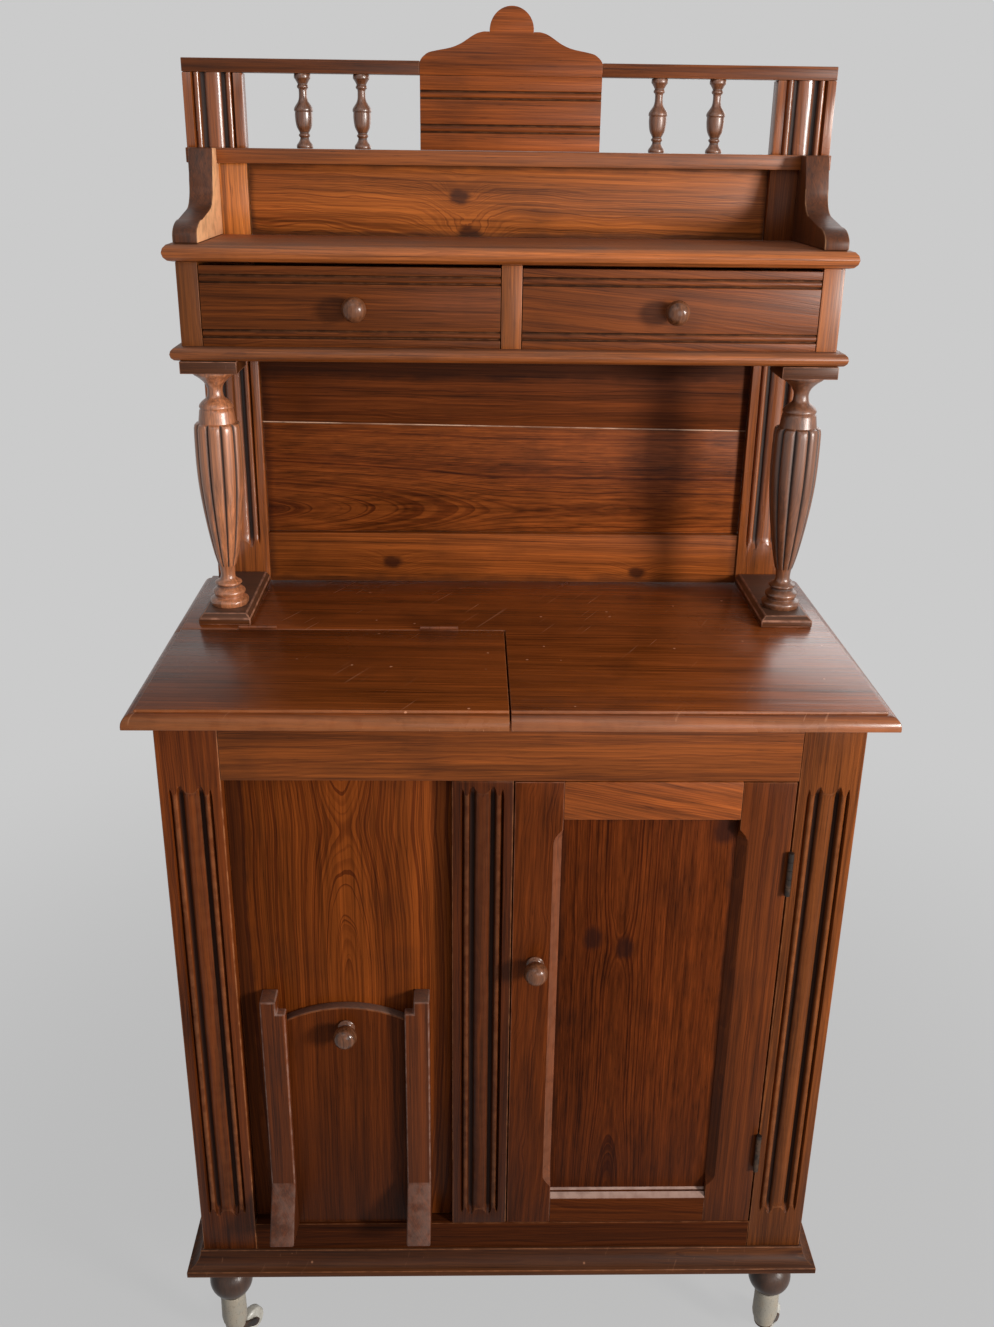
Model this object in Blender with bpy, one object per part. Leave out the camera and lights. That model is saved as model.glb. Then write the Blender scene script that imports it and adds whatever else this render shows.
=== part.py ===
"""Pine kitchen dresser: a base with a bin and a cupboard, on casters, and a hutch with drawers and a gallery.

Metres, +Z up, the front faces -Y. The origin is on the floor, under the middle of the overall box.
"""

import math

import bmesh
import bpy
from mathutils import Matrix, Vector

# Clearances
SEAT = 0.0003
RUN = 0.0005
DOOR_GAP = 0.0015
SEAM = 0.002

# Base carcass
CARCASS_W = 0.823
CARCASS_D = 0.4625
CARCASS_H = 0.831
BOARD_T = 0.018
BACK_T = 0.012
FRAME_T = 0.026
PILASTER_W = 0.073
TOP_RAIL_H = 0.077
BOTTOM_RAIL_H = 0.074
MIDDLE_X = -0.0335
PANEL_SET = 0.0175

# Reeding that runs down the pilasters and the hutch stiles
REED_FLAT = 0.011
REED_VEE_W = 0.0034
REED_VEE_D = 0.006
REED_BEAD_W = 0.0062
REED_BEAD_D = 0.0012
REED_HOLLOW_W = 0.006
REED_HOLLOW_D = 0.008
REED_CROWN_D = 0.0022
REED_RAMP = 0.024
REED_END_TOP = 0.006
REED_END_BOTTOM = 0.014

# Plinth moulding round the foot of the carcass
PLINTH_H = 0.031
PLINTH_OUT = 0.0212
PLINTH_FILLET = 0.009
PLINTH_TOP_T = 0.004

# Worktop and the lid of the bin
WORKTOP_T = 0.020
OVERHANG = 0.0285
EDGE_IN = 0.0133
EDGE_FOOT = 0.004
EDGE_STEP = 0.003
EDGE_LEDGE = 0.002
LID_LAP = 0.0065
LID_BACK_GAP = 0.0137

# Butt hinges
LEAF_T = 0.0012
LEAF_GAP = 0.0004
BARREL_R = 0.0035
BARREL_PROUD = 0.0007
DOOR_HINGE_L = 0.060
DOOR_HINGE_INSET = 0.094
LID_BARREL_R = 0.0025
LID_BARREL_PROUD = 0.0004
LID_HINGE_L = 0.050
LID_HINGE_INSET = 0.060
LID_LEAF_D = 0.015

# Cupboard door
DOOR_T = 0.022
DOOR_STILE = 0.062
DOOR_TOP = 0.052
DOOR_BOTTOM = 0.056
DOOR_CHAMFER = 0.007
DOOR_LIP = 0.0105
DOOR_RABBET = 0.008
DOOR_PANEL_T = 0.010
DOOR_KNOB_IN = 0.029
DOOR_KNOB_DROP = 0.255

# Chute and sliding gate in front of the bin
CHUTE_W = 0.212
CHUTE_H = 0.375
CHEEK_T = 0.020
CHEEK_OUT = 0.029
CHEEK_LIP = 0.0115
CHEEK_NOTCH = 0.018
NOSE_START = 0.082
NOSE_TIP = 0.017
NOSE_OUT = 0.0555
GATE_T = 0.014
GATE_H = 0.356
GATE_RISE = 0.024
GATE_KNOB_DROP = 0.029
MOUTH_W = 0.130
MOUTH_H = 0.085

# Turned wooden knobs
KNOB_R = 0.0150
KNOB_COLLAR_R = 0.0110
KNOB_COLLAR_T = 0.003
KNOB_NECK_R = 0.0065
KNOB_NECK_END = 0.010
KNOB_L = 0.034

# Turned feet and their casters
FOOT_H = 0.179
FOOT_IN = 0.0275
FOOT_BUN_R = 0.030
FOOT_BUN_Z = 0.127
FOOT_COLLAR_R = 0.022
FOOT_COLLAR_T = 0.012
FOOT_NECK_R = 0.0175
FOOT_NECK_SWELL = 0.001
FOOT_END_R = 0.0145
FOOT_END_H = 0.006
STEM_R = 0.004
STEM_L = 0.020
WHEEL_R = 0.019
WHEEL_W = 0.014
WHEEL_ROUND = 0.0025
WHEEL_TRAIL = 0.030
CASTER_TURN = {"front": math.radians(52.5), "rear": math.radians(-52.5)}
PIN_R = 0.0028
FORK_CROWN_R = 0.0135
FORK_CROWN_T = 0.004
FORK_ARM_T = 0.0025
FORK_EYE_R = 0.006
FORK_GAP = 0.001

# Hutch
HUTCH_IN = 0.027
STILE_W = 0.075
STILE_T = 0.025
HUTCH_BACK_T = 0.014
BACK_RAIL_H = 0.072
BACK_RAIL_OUT = 0.003
ALCOVE_H = 0.3407
PAD_W = 0.068
PAD_H = 0.015
PAD_CHAMFER = 0.006
PAD_FRONT = 0.046
COLUMN_IN = 0.041
COLUMN_BACK = 0.137
COLUMN_R = 0.0303
ABACUS_W = 0.070
ABACUS_T = 0.015
LOBES = 10
LOBE_GROOVE = 0.0022
STILE_REED_START = 0.050

# Drawer case
CASE_IN = 0.009
CASE_D = 0.163
CASE_BOTTOM_T = 0.0167
CASE_TOP_T = 0.021
CASE_OUT = 0.013
CASE_END_T = 0.026
CASE_DIVIDER_T = 0.025
CASE_OPENING_H = 0.0996
DRAWER_SIDE_GAP = 0.001
DRAWER_HEAD = 0.004
DRAWER_FRONT_T = 0.018
DRAWER_WALL = 0.009
DRAWER_BOTTOM_T = 0.006
DRAWER_SIDE_DROP = 0.012
DRAWER_BACK_GAP = 0.010
DRAWER_KNOB_OFF = 0.005
BEAD_EDGE = 0.012
BEAD_W = 0.004
BEAD_D = 0.0018

# Brackets and gallery above the drawers
SHELF_BACK_H = 0.087
GALLERY_RAIL_H = 0.018
GALLERY_RAIL_OUT = 0.010
GALLERY_H = 0.088
TOP_RAIL_T = 0.016
BRACKET_T = 0.030
BRACKET_OVER = 0.005
BRACKET_TOP_D = 0.025
BRACKET_NECK_D = 0.037
BRACKET_TOE_H = 0.007
BRACKET_NOSE_D = 0.040
BRACKET_NOSE_H = 0.018
BRACKET_RISE = 0.008
BRACKET_HOLLOW_D = 0.036
BRACKET_HOLLOW_H = 0.032
CREST_HALF_W = 0.115
CREST_LOBE_W = 0.022
CREST_LOBE_H = 0.012
CREST_SHOULDER_X = 0.037
CREST_SHOULDER_H = 0.034
CREST_DOME_R = 0.027
CREST_H = 0.063
CREST_T = 0.022
CREST_GROOVE_W = 0.0035
CREST_GROOVE_D = 0.003
BALUSTERS_A_SIDE = 2
BALUSTER_R = 0.012

ROUND_STEPS = 24
SMALL_STEPS = 16

# Levels and lines that the pieces share
X_SIDE = CARCASS_W / 2
X_POST = X_SIDE - PILASTER_W
Y_FACE = (NOSE_OUT - CARCASS_D) / 2
Y_BACK = Y_FACE + CARCASS_D
Y_INSIDE = Y_FACE + FRAME_T + SEAT
Z_BASE = FOOT_H
Z_SILL = Z_BASE + BOTTOM_RAIL_H
Z_UNDER_TOP = Z_BASE + CARCASS_H
Z_CARCASS_TOP = Z_UNDER_TOP - SEAT
Z_HEAD = Z_UNDER_TOP - TOP_RAIL_H
Z_TOP = Z_UNDER_TOP + WORKTOP_T
X_TOP = X_SIDE + OVERHANG
Y_TOP_FRONT = Y_FACE - OVERHANG
MIDDLE_LEFT = MIDDLE_X - PILASTER_W / 2
MIDDLE_RIGHT = MIDDLE_X + PILASTER_W / 2
Y_PANEL = Y_FACE + PANEL_SET
CHUTE_X = (MIDDLE_LEFT - X_POST) / 2
LID_SIDE_X = MIDDLE_RIGHT - LID_LAP
X_STILE = X_TOP - HUTCH_IN
X_STILE_IN = X_STILE - STILE_W
Y_STILE = Y_BACK - STILE_T
X_COLUMN = X_STILE - COLUMN_IN
Y_COLUMN = Y_STILE - COLUMN_BACK
Y_PAD_FRONT = Y_COLUMN - PAD_FRONT
Y_LID_BACK = Y_PAD_FRONT - LID_BACK_GAP
Z_HUTCH = Z_TOP + SEAT
Z_CASE = Z_TOP + ALCOVE_H
Z_CASE_FLOOR = Z_CASE + CASE_BOTTOM_T
Z_CASE_HEAD = Z_CASE_FLOOR + CASE_OPENING_H
Z_SHELF = Z_CASE_HEAD + CASE_TOP_T
X_CASE = X_STILE - CASE_IN
Y_CASE = Y_STILE - CASE_D
Z_GALLERY_RAIL = Z_SHELF + SHELF_BACK_H
Z_GALLERY = Z_GALLERY_RAIL + GALLERY_RAIL_H
Z_GALLERY_HEAD = Z_GALLERY + GALLERY_H
Z_CREST = Z_GALLERY_HEAD + TOP_RAIL_T

PINE = ("pine", (0.23, 0.085, 0.032), 0.45, 0.0)
PINE_DARK = ("dark_pine", (0.16, 0.06, 0.03), 0.4, 0.0)
TURNED_WOOD = ("turned_wood", (0.27, 0.12, 0.06), 0.35, 0.0)
OLD_PAINT = ("old_paint", (0.5, 0.46, 0.38), 0.6, 0.0)
IRON = ("iron", (0.12, 0.09, 0.07), 0.5, 0.9)
WHEEL_WHITE = ("wheel_white", (0.62, 0.6, 0.55), 0.35, 0.0)


def clear_scene():
    for obj in list(bpy.data.objects):
        bpy.data.objects.remove(obj)


def material(finish):
    """The Principled material of a finish, made once."""
    name, colour, roughness, metallic = finish
    found = bpy.data.materials.get(name)
    if found:
        return found
    made = bpy.data.materials.new(name)
    made.use_nodes = True
    shader = made.node_tree.nodes["Principled BSDF"]
    shader.inputs["Base Color"].default_value = (*colour, 1)
    shader.inputs["Roughness"].default_value = roughness
    shader.inputs["Metallic"].default_value = metallic
    return made


def piece(name, bm, finish, carrier=None, smooth=False):
    """An object from a bmesh in world places, hung on its carrier, an empty on a joint's axis."""
    bmesh.ops.recalc_face_normals(bm, faces=bm.faces[:])
    mesh = bpy.data.meshes.new(name)
    if carrier:
        bmesh.ops.translate(bm, vec=-carrier.location, verts=bm.verts[:])
    bm.to_mesh(mesh)
    bm.free()
    mesh.materials.append(material(finish))
    if smooth:
        mesh.shade_smooth()
        mesh.set_sharp_from_angle(angle=math.radians(35))
    obj = bpy.data.objects.new(name, mesh)
    bpy.context.scene.collection.objects.link(obj)
    obj.parent = carrier
    return obj


def axis_empty(name, place, carrier=None):
    """An empty on a joint's axis, under the empty that carries it."""
    empty = bpy.data.objects.new(name, None)
    empty.location = place
    empty.empty_display_size = 0.05
    bpy.context.scene.collection.objects.link(empty)
    if carrier:
        empty.parent = carrier
        empty.matrix_parent_inverse = Matrix.Translation(-carrier.location)
    return empty


def block(low, high):
    """A bmesh box between two corners."""
    bm = bmesh.new()
    bmesh.ops.create_cube(bm, size=1)
    low = Vector(low)
    size = Vector(high) - low
    for vert in bm.verts:
        vert.co = Vector(low[i] + (vert.co[i] + 0.5) * size[i] for i in range(3))
    return bm


def prism(outline, axis, low, high):
    """A bmesh prism of a closed outline in the plane across the axis, X (y, z), Y (x, z) or Z (x, y)."""
    bm = bmesh.new()
    slot = "XYZ".index(axis)

    def place(point, along):
        co = list(point)
        co.insert(slot, along)
        return bm.verts.new(co)

    face = bm.faces.new([place(point, low) for point in outline])
    moved = bmesh.ops.extrude_face_region(bm, geom=[face])["geom"]
    shift = Vector()
    shift[slot] = high - low
    tops = [item for item in moved if isinstance(item, bmesh.types.BMVert)]
    bmesh.ops.translate(bm, vec=shift, verts=tops)
    return bm


def loft(loops, closed=False):
    """A bmesh skin over loops of equally many points, its ends capped or, if closed, joined to each other."""
    bm = bmesh.new()
    rings = [[bm.verts.new(point) for point in loop] for loop in loops]
    pairs = list(zip(rings, rings[1:]))
    if closed:
        pairs.append((rings[-1], rings[0]))
    else:
        bm.faces.new(rings[0])
        bm.faces.new(reversed(rings[-1]))
    for ring, following in pairs:
        for i, vert in enumerate(ring):
            after = (i + 1) % len(ring)
            bm.faces.new((vert, ring[after], following[after], following[i]))
    return bm


def turned(profile, place, direction=(0, 0, 1), steps=ROUND_STEPS):
    """A bmesh turned from (radius, height) points about a line through place."""
    bm = bmesh.new()
    verts = [bm.verts.new((radius, 0, height)) for radius, height in profile]
    edges = [bm.edges.new(pair) for pair in zip(verts, verts[1:])]
    bmesh.ops.spin(
        bm, geom=verts + edges, cent=(0, 0, 0), axis=(0, 0, 1), angle=2 * math.pi, steps=steps, use_merge=True
    )
    bmesh.ops.remove_doubles(bm, verts=bm.verts[:], dist=1e-6)
    turn = Vector((0, 0, 1)).rotation_difference(Vector(direction)).to_matrix().to_4x4()
    bmesh.ops.transform(bm, matrix=Matrix.Translation(place) @ turn, verts=bm.verts[:])
    return bm


def arc(centre, radii, start, end, steps):
    """Points on an elliptic arc, from the start angle to the end angle in degrees."""
    points = []
    for i in range(steps + 1):
        angle = math.radians(start + (end - start) * i / steps)
        points.append((centre[0] + radii[0] * math.cos(angle), centre[1] + radii[1] * math.sin(angle)))
    return points


def ease(start, end, steps):
    """Points of an S curve that leaves the start and meets the end level."""
    points = []
    for i in range(1, steps):
        t = i / steps
        rise = t * t * (3 - 2 * t)
        points.append((start[0] + (end[0] - start[0]) * t, start[1] + (end[1] - start[1]) * rise))
    return points


def helper(name, bm):
    """A hidden solid that a Boolean cuts with or joins."""
    obj = piece(name, bm, PINE)
    obj.hide_render = True
    obj.display_type = "WIRE"
    return obj


def boolean(obj, operation, name, bm):
    modifier = obj.modifiers.new(name, "BOOLEAN")
    modifier.operation = operation
    modifier.solver = "EXACT"
    modifier.object = helper(f"{obj.name}_{name}", bm)


def reeding(centre_x, width, face_y, low, high):
    """The cutter of one run of reeding: its section slides out of the wood over a ramp at both ends."""
    left = REED_VEE_W + REED_BEAD_W + REED_HOLLOW_W
    half = width / 2 - REED_FLAT
    crown = half - left
    bead_mid = half - REED_VEE_W - REED_BEAD_W / 2
    vee_end = half - REED_VEE_W
    bead_foot = (REED_VEE_D + REED_BEAD_D) / 2
    section = [(half, 0), (half - REED_VEE_W / 2, REED_VEE_D), (vee_end, bead_foot)]
    section += arc((bead_mid, bead_foot), (REED_BEAD_W / 2, bead_foot - REED_BEAD_D), 0, -180, 4)[1:]
    section += [(crown + REED_HOLLOW_W * 0.6, REED_HOLLOW_D), (crown, REED_HOLLOW_D)]
    middle = arc((0, REED_HOLLOW_D), (crown, REED_HOLLOW_D - REED_CROWN_D), 0, -180, 8)[1:-1]
    mirrored = [(-across, depth) for across, depth in reversed(section)]
    clear = REED_HOLLOW_D + RUN
    outline = [(half, -clear)] + section + middle + mirrored + [(-half, -clear)]
    stations = [(low, clear), (low + REED_RAMP, 0), (high - REED_RAMP, 0), (high, clear)]
    return loft([[(centre_x + u, face_y + d - out, z) for u, d in outline] for z, out in stations])


def pilaster(name, left, low, high):
    bm = block((left, Y_FACE, low), (left + PILASTER_W, Y_FACE + FRAME_T, high))
    post = piece(name, bm, PINE)
    middle = left + PILASTER_W / 2
    cutter = reeding(middle, PILASTER_W, Y_FACE, Z_SILL + REED_END_BOTTOM, Z_HEAD - REED_END_TOP)
    boolean(post, "DIFFERENCE", "reeding", cutter)


def base_frame():
    pilaster("left_pilaster", -X_SIDE, Z_BASE, Z_CARCASS_TOP)
    pilaster("right_pilaster", X_POST, Z_BASE, Z_CARCASS_TOP)
    pilaster("middle_pilaster", MIDDLE_LEFT, Z_SILL + SEAT, Z_HEAD - SEAT)
    reach = X_POST - SEAT
    back = Y_FACE + FRAME_T
    piece("base_top_rail", block((-reach, Y_FACE, Z_HEAD), (reach, back, Z_CARCASS_TOP)), PINE)
    piece("base_bottom_rail", block((-reach, Y_FACE, Z_BASE), (reach, back, Z_SILL)), PINE)


def base_boards():
    inner = X_SIDE - BOARD_T
    piece("left_side", block((-X_SIDE, Y_INSIDE, Z_BASE), (-inner, Y_BACK, Z_CARCASS_TOP)), PINE)
    piece("right_side", block((inner, Y_INSIDE, Z_BASE), (X_SIDE, Y_BACK, Z_CARCASS_TOP)), PINE)
    reach = inner - SEAT
    back = Y_BACK - BACK_T
    piece("base_back", block((-reach, back, Z_BASE), (reach, Y_BACK, Z_CARCASS_TOP)), PINE)
    inside = back - SEAT
    piece("base_floor", block((-reach, Y_INSIDE, Z_SILL - BOARD_T), (reach, inside, Z_SILL)), PINE)
    low = (MIDDLE_X - BOARD_T / 2, Y_INSIDE, Z_SILL + SEAT)
    piece("bin_partition", block(low, (MIDDLE_X + BOARD_T / 2, inside, Z_CARCASS_TOP)), PINE)


def bin_front_panel():
    left = -X_POST + SEAT
    right = MIDDLE_LEFT - SEAT
    low = Z_SILL + SEAT
    high = Z_HEAD - SEAT
    mouth_left = CHUTE_X - MOUTH_W / 2
    mouth_right = CHUTE_X + MOUTH_W / 2
    mouth_top = low + MOUTH_H
    outline = [(left, low), (mouth_left, low), (mouth_left, mouth_top), (mouth_right, mouth_top)]
    outline += [(mouth_right, low), (right, low), (right, high), (left, high)]
    piece("bin_front_panel", prism(outline, "Y", Y_PANEL, Y_FACE + FRAME_T), PINE)


def plinth():
    """One moulding round the front and both sides, with a sloped hollow above a square fillet."""
    hollow = arc((PLINTH_OUT, PLINTH_H), (PLINTH_OUT - PLINTH_TOP_T, PLINTH_H - PLINTH_FILLET), -90, -180, 5)
    section = [(SEAT, 0), (PLINTH_OUT, 0)] + hollow + [(SEAT, PLINTH_H)]
    corners = [(-1, Y_BACK, 0), (-1, Y_FACE, 1), (1, Y_FACE, 1), (1, Y_BACK, 0)]
    loops = []
    for side, y, turns in corners:
        loops.append([(side * (X_SIDE + out), y - out * turns, Z_BASE + up) for out, up in section])
    piece("plinth_moulding", loft(loops), PINE_DARK)


def moulded_edge():
    """(inset, height) steps of the worktop's edge, from its underside to its top."""
    rise = WORKTOP_T - EDGE_STEP - EDGE_FOOT
    run = EDGE_IN - EDGE_LEDGE
    curve = arc((run, EDGE_FOOT), (run, rise), 180, 90, 5)
    return [(0, 0)] + curve + [(EDGE_IN, WORKTOP_T - EDGE_STEP), (EDGE_IN, WORKTOP_T)]


def moulded_slab(corners):
    """A board from corners (x, y, inset x, inset y): the insets point inwards where the edge is moulded."""
    loops = []
    for inset, up in moulded_edge():
        loops.append([(x + in_x * inset, y + in_y * inset, Z_UNDER_TOP + up) for x, y, in_x, in_y in corners])
    return loft(loops)


def worktop():
    left = LID_SIDE_X + SEAM / 2
    step = Y_LID_BACK + SEAM / 2
    corners = [(left, Y_TOP_FRONT, 0, 1), (X_TOP, Y_TOP_FRONT, -1, 1), (X_TOP, Y_BACK, -1, 0)]
    corners += [(-X_TOP, Y_BACK, 1, 0), (-X_TOP, step, 1, 0), (left, step, 0, 0)]
    piece("worktop", moulded_slab(corners), PINE_DARK)


def barrel_outline(centre, radius, leaf_end):
    """A hinge in section: a round barrel at the centre, and its leaf running along the second axis."""
    side = 1 if leaf_end > centre[1] else -1
    open_half = math.asin(LEAF_T / 2 / radius)
    points = []
    for i in range(ROUND_STEPS // 2 + 1):
        angle = open_half + (2 * math.pi - 2 * open_half) * i / (ROUND_STEPS // 2)
        points.append((centre[0] + radius * math.sin(angle), centre[1] + side * radius * math.cos(angle)))
    return points + [(centre[0] - LEAF_T / 2, leaf_end), (centre[0] + LEAF_T / 2, leaf_end)]


def bin_lid():
    axis_y = Y_LID_BACK + SEAM / 2 - SEAT - LEAF_T / 2
    axis_z = Z_TOP + LID_BARREL_R + LID_BARREL_PROUD
    carrier = axis_empty("bin_lid_axis", (0, axis_y, axis_z))
    right = LID_SIDE_X - SEAM / 2
    back = Y_LID_BACK - SEAM / 2
    corners = [(-X_TOP, Y_TOP_FRONT, 1, 1), (right, Y_TOP_FRONT, 0, 1)]
    corners += [(right, back, 0, 0), (-X_TOP, back, 1, 0)]
    piece("bin_lid", moulded_slab(corners), PINE_DARK, carrier)
    leaf_end = Z_TOP - LID_LEAF_D
    outline = barrel_outline((axis_y, axis_z), LID_BARREL_R, leaf_end)
    near = right - LID_HINGE_INSET - LID_HINGE_L
    far = -X_SIDE + LID_HINGE_INSET
    for name, start in (("lid_hinge_left", far), ("lid_hinge_right", near)):
        piece(name, prism(outline, "X", start, start + LID_HINGE_L), IRON, smooth=True)


def knob(name, place, carrier):
    """A turned knob on a front: a collar, a neck and a ball, on an axis that points out of the front."""
    ball = (KNOB_L - KNOB_NECK_END) / 2
    neck = (KNOB_COLLAR_T + KNOB_NECK_END) / 2
    profile = [(0, 0), (KNOB_COLLAR_R, 0), (KNOB_COLLAR_R, KNOB_COLLAR_T), (KNOB_NECK_R, neck)]
    start = -math.degrees(math.acos(KNOB_NECK_R / KNOB_R))
    profile += arc((0, KNOB_L - ball), (KNOB_R, ball), start, 90, 7)[:-1]
    profile.append((0, KNOB_L))
    x, y, z = place
    piece(name, turned(profile, (x, y - SEAT, z), (0, -1, 0), SMALL_STEPS), TURNED_WOOD, carrier, smooth=True)


def rectangle_loop(box, insets, y):
    """The four corners of a door's rectangle, drawn in by its stile, top and bottom insets."""
    left, low, right, high = box
    side, top, bottom = insets
    return [
        (left + side, y, low + bottom),
        (right - side, y, low + bottom),
        (right - side, y, high - top),
        (left + side, y, high - top),
    ]


def cupboard_door():
    axis_x = X_POST - SEAT - LEAF_T / 2
    axis_y = Y_FACE - BARREL_R - BARREL_PROUD
    carrier = axis_empty("cupboard_door_axis", (axis_x, axis_y, 0))
    right = X_POST - SEAT - LEAF_T - LEAF_GAP
    box = (MIDDLE_RIGHT + DOOR_GAP, Z_SILL + DOOR_GAP, right, Z_HEAD - DOOR_GAP)
    widths = (DOOR_STILE, DOOR_TOP, DOOR_BOTTOM)

    def narrowed(by):
        return tuple(width - by for width in widths)

    steps = [((0, 0, 0), 0), (narrowed(DOOR_CHAMFER), 0), (widths, DOOR_CHAMFER), (widths, DOOR_LIP)]
    steps += [(narrowed(DOOR_RABBET), DOOR_LIP), (narrowed(DOOR_RABBET), DOOR_T), ((0, 0, 0), DOOR_T)]
    loops = [rectangle_loop(box, insets, Y_FACE + depth) for insets, depth in steps]
    piece("door_frame", loft(loops, closed=True), PINE, carrier)
    front = Y_FACE + DOOR_LIP + SEAT
    insets = narrowed(DOOR_RABBET - SEAT)
    loops = [rectangle_loop(box, insets, y) for y in (front, front + DOOR_PANEL_T)]
    piece("door_panel", loft(loops), PINE, carrier)
    knob("door_knob", (box[0] + DOOR_KNOB_IN, Y_FACE, Z_HEAD - DOOR_KNOB_DROP), carrier)
    outline = barrel_outline((axis_x, axis_y), BARREL_R, Y_FACE + DOOR_T)
    upper = Z_HEAD - DOOR_HINGE_INSET - DOOR_HINGE_L
    lower = Z_SILL + DOOR_HINGE_INSET
    for name, start in (("upper_door_hinge", upper), ("lower_door_hinge", lower)):
        piece(name, prism(outline, "Z", start, start + DOOR_HINGE_L), IRON, smooth=True)


def chute_cheek(name, outer_x, inward):
    """A cheek with a pointed nose at its foot, rabbeted behind a lip that keeps the gate in."""
    back = Y_PANEL - SEAT
    front = back - CHEEK_OUT
    foot = Z_SILL + SEAT
    top = Z_SILL + CHUTE_H
    outline = [(back, top), (front, top), (front, Z_SILL + NOSE_START)]
    outline += [(Y_FACE - NOSE_OUT, Z_SILL + NOSE_TIP), (Y_FACE, foot), (back, foot)]
    lip_end = outer_x + inward * (CHEEK_T + CHEEK_LIP)
    cheek = piece(name, prism(outline, "X", min(outer_x, lip_end), max(outer_x, lip_end)), PINE_DARK)
    lip_back = front + CHEEK_OUT - GATE_T - 2 * RUN
    lip_top = top - CHEEK_NOTCH
    clear = NOSE_OUT
    cut = [(front - clear, top + clear), (front - clear, lip_top), (lip_back, lip_top)]
    cut += [(lip_back, foot - clear), (back + clear, foot - clear), (back + clear, top + clear)]
    shoulder = outer_x + inward * CHEEK_T
    past = lip_end + inward * CHEEK_LIP
    boolean(cheek, "DIFFERENCE", "rabbet", prism(cut, "X", min(shoulder, past), max(shoulder, past)))


def chute():
    chute_cheek("chute_left_cheek", CHUTE_X - CHUTE_W / 2, 1)
    chute_cheek("chute_right_cheek", CHUTE_X + CHUTE_W / 2, -1)
    back = Y_PANEL - RUN
    front = back - GATE_T
    half = CHUTE_W / 2 - CHEEK_T - RUN
    foot = Z_SILL + SEAT
    top = foot + GATE_H
    radius = (half * half + GATE_RISE * GATE_RISE) / (2 * GATE_RISE)
    spread = math.degrees(math.asin(half / radius))
    crown = arc((CHUTE_X, top - radius), (radius, radius), 90 - spread, 90 + spread, 12)
    carrier = axis_empty("chute_gate_slide", (CHUTE_X, front, foot))
    outline = [(CHUTE_X - half, foot), (CHUTE_X + half, foot)] + crown
    piece("chute_gate", prism(outline, "Y", front, back), PINE, carrier)
    knob("chute_gate_knob", (CHUTE_X, front, top - GATE_KNOB_DROP), carrier)


def foot(name, x, y):
    """A turned foot: a collar under the carcass, a bun, and a painted neck round the caster's stem."""
    end = caster_crown_top() + SEAT
    top = Z_BASE - SEAT
    bun_low = FOOT_BUN_Z - FOOT_BUN_R
    bun = arc((0, FOOT_BUN_Z), (FOOT_BUN_R, FOOT_BUN_R), 55, -50, 7)
    hole = STEM_R + SEAT
    profile = [(0, top), (FOOT_COLLAR_R, top), (FOOT_COLLAR_R, top - FOOT_COLLAR_T)] + bun
    swell_z = bun_low - FOOT_END_H
    profile += [(FOOT_NECK_R, bun_low), (FOOT_NECK_R + FOOT_NECK_SWELL, swell_z)]
    profile += [(FOOT_END_R, end + FOOT_END_H), (FOOT_END_R, end)]
    profile += [(hole, end), (hole, end + STEM_L), (0, end + STEM_L)]
    piece(name, turned(profile, (x, y, 0)), OLD_PAINT, smooth=True)


def caster_crown_top():
    """Height of the caster's crown plate, over the wheel that trails behind it."""
    return 2 * WHEEL_R - SEAT


def caster(corner, x, y, turn_angle):
    """A caster that swivels under its foot, with its wheel trailing behind the stem."""
    swivel = axis_empty(f"caster_{corner}_swivel", (x, y, 0))
    trail = Vector((math.cos(turn_angle), math.sin(turn_angle), 0))
    axle = Vector((-trail.y, trail.x, 0))
    hub = Vector((x, y, WHEEL_R)) + trail * WHEEL_TRAIL
    crown_top = caster_crown_top()
    crown_low = crown_top - FORK_CROWN_T
    profile = [(0, crown_top + STEM_L - SEAT), (STEM_R, crown_top + STEM_L - SEAT), (STEM_R, crown_top)]
    profile += [(FORK_CROWN_R, crown_top), (FORK_CROWN_R, crown_low), (0, crown_low)]
    crown = turned(profile, (x, y, 0), steps=SMALL_STEPS)
    fork = piece(f"caster_fork_{corner}", crown, IRON, swivel, smooth=True)
    inner = WHEEL_W / 2 + FORK_GAP
    reach = FORK_CROWN_R * 0.6
    eye = arc((WHEEL_TRAIL, WHEEL_R), (FORK_EYE_R, FORK_EYE_R), 70, -110, 6)
    arm = [(-reach, crown_low + FORK_CROWN_T / 2), (reach, crown_low + FORK_CROWN_T / 2)] + eye
    turn = Matrix.Translation((x, y, 0)) @ Matrix.Rotation(turn_angle, 4, "Z")
    for label, start in (("near_arm", -inner - FORK_ARM_T), ("far_arm", inner)):
        bm = prism(arm, "Y", start, start + FORK_ARM_T)
        bmesh.ops.transform(bm, matrix=turn, verts=bm.verts[:])
        boolean(fork, "UNION", label, bm)
    half = inner + FORK_ARM_T / 2
    pin = turned([(0, half), (PIN_R, half), (PIN_R, -half), (0, -half)], hub, axle, SMALL_STEPS)
    boolean(fork, "UNION", "axle", pin)
    spin = axis_empty(f"caster_{corner}_axle", hub, swivel)
    edge = WHEEL_W / 2
    bore = PIN_R + SEAT
    shoulder = WHEEL_R - WHEEL_ROUND
    flat = edge - WHEEL_ROUND
    profile = [(bore, edge), (shoulder, edge), (WHEEL_R, flat), (WHEEL_R, -flat), (shoulder, -edge)]
    profile += [(bore, -edge), (bore, edge)]
    piece(f"caster_wheel_{corner}", turned(profile, hub, axle), WHEEL_WHITE, spin, smooth=True)


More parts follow.
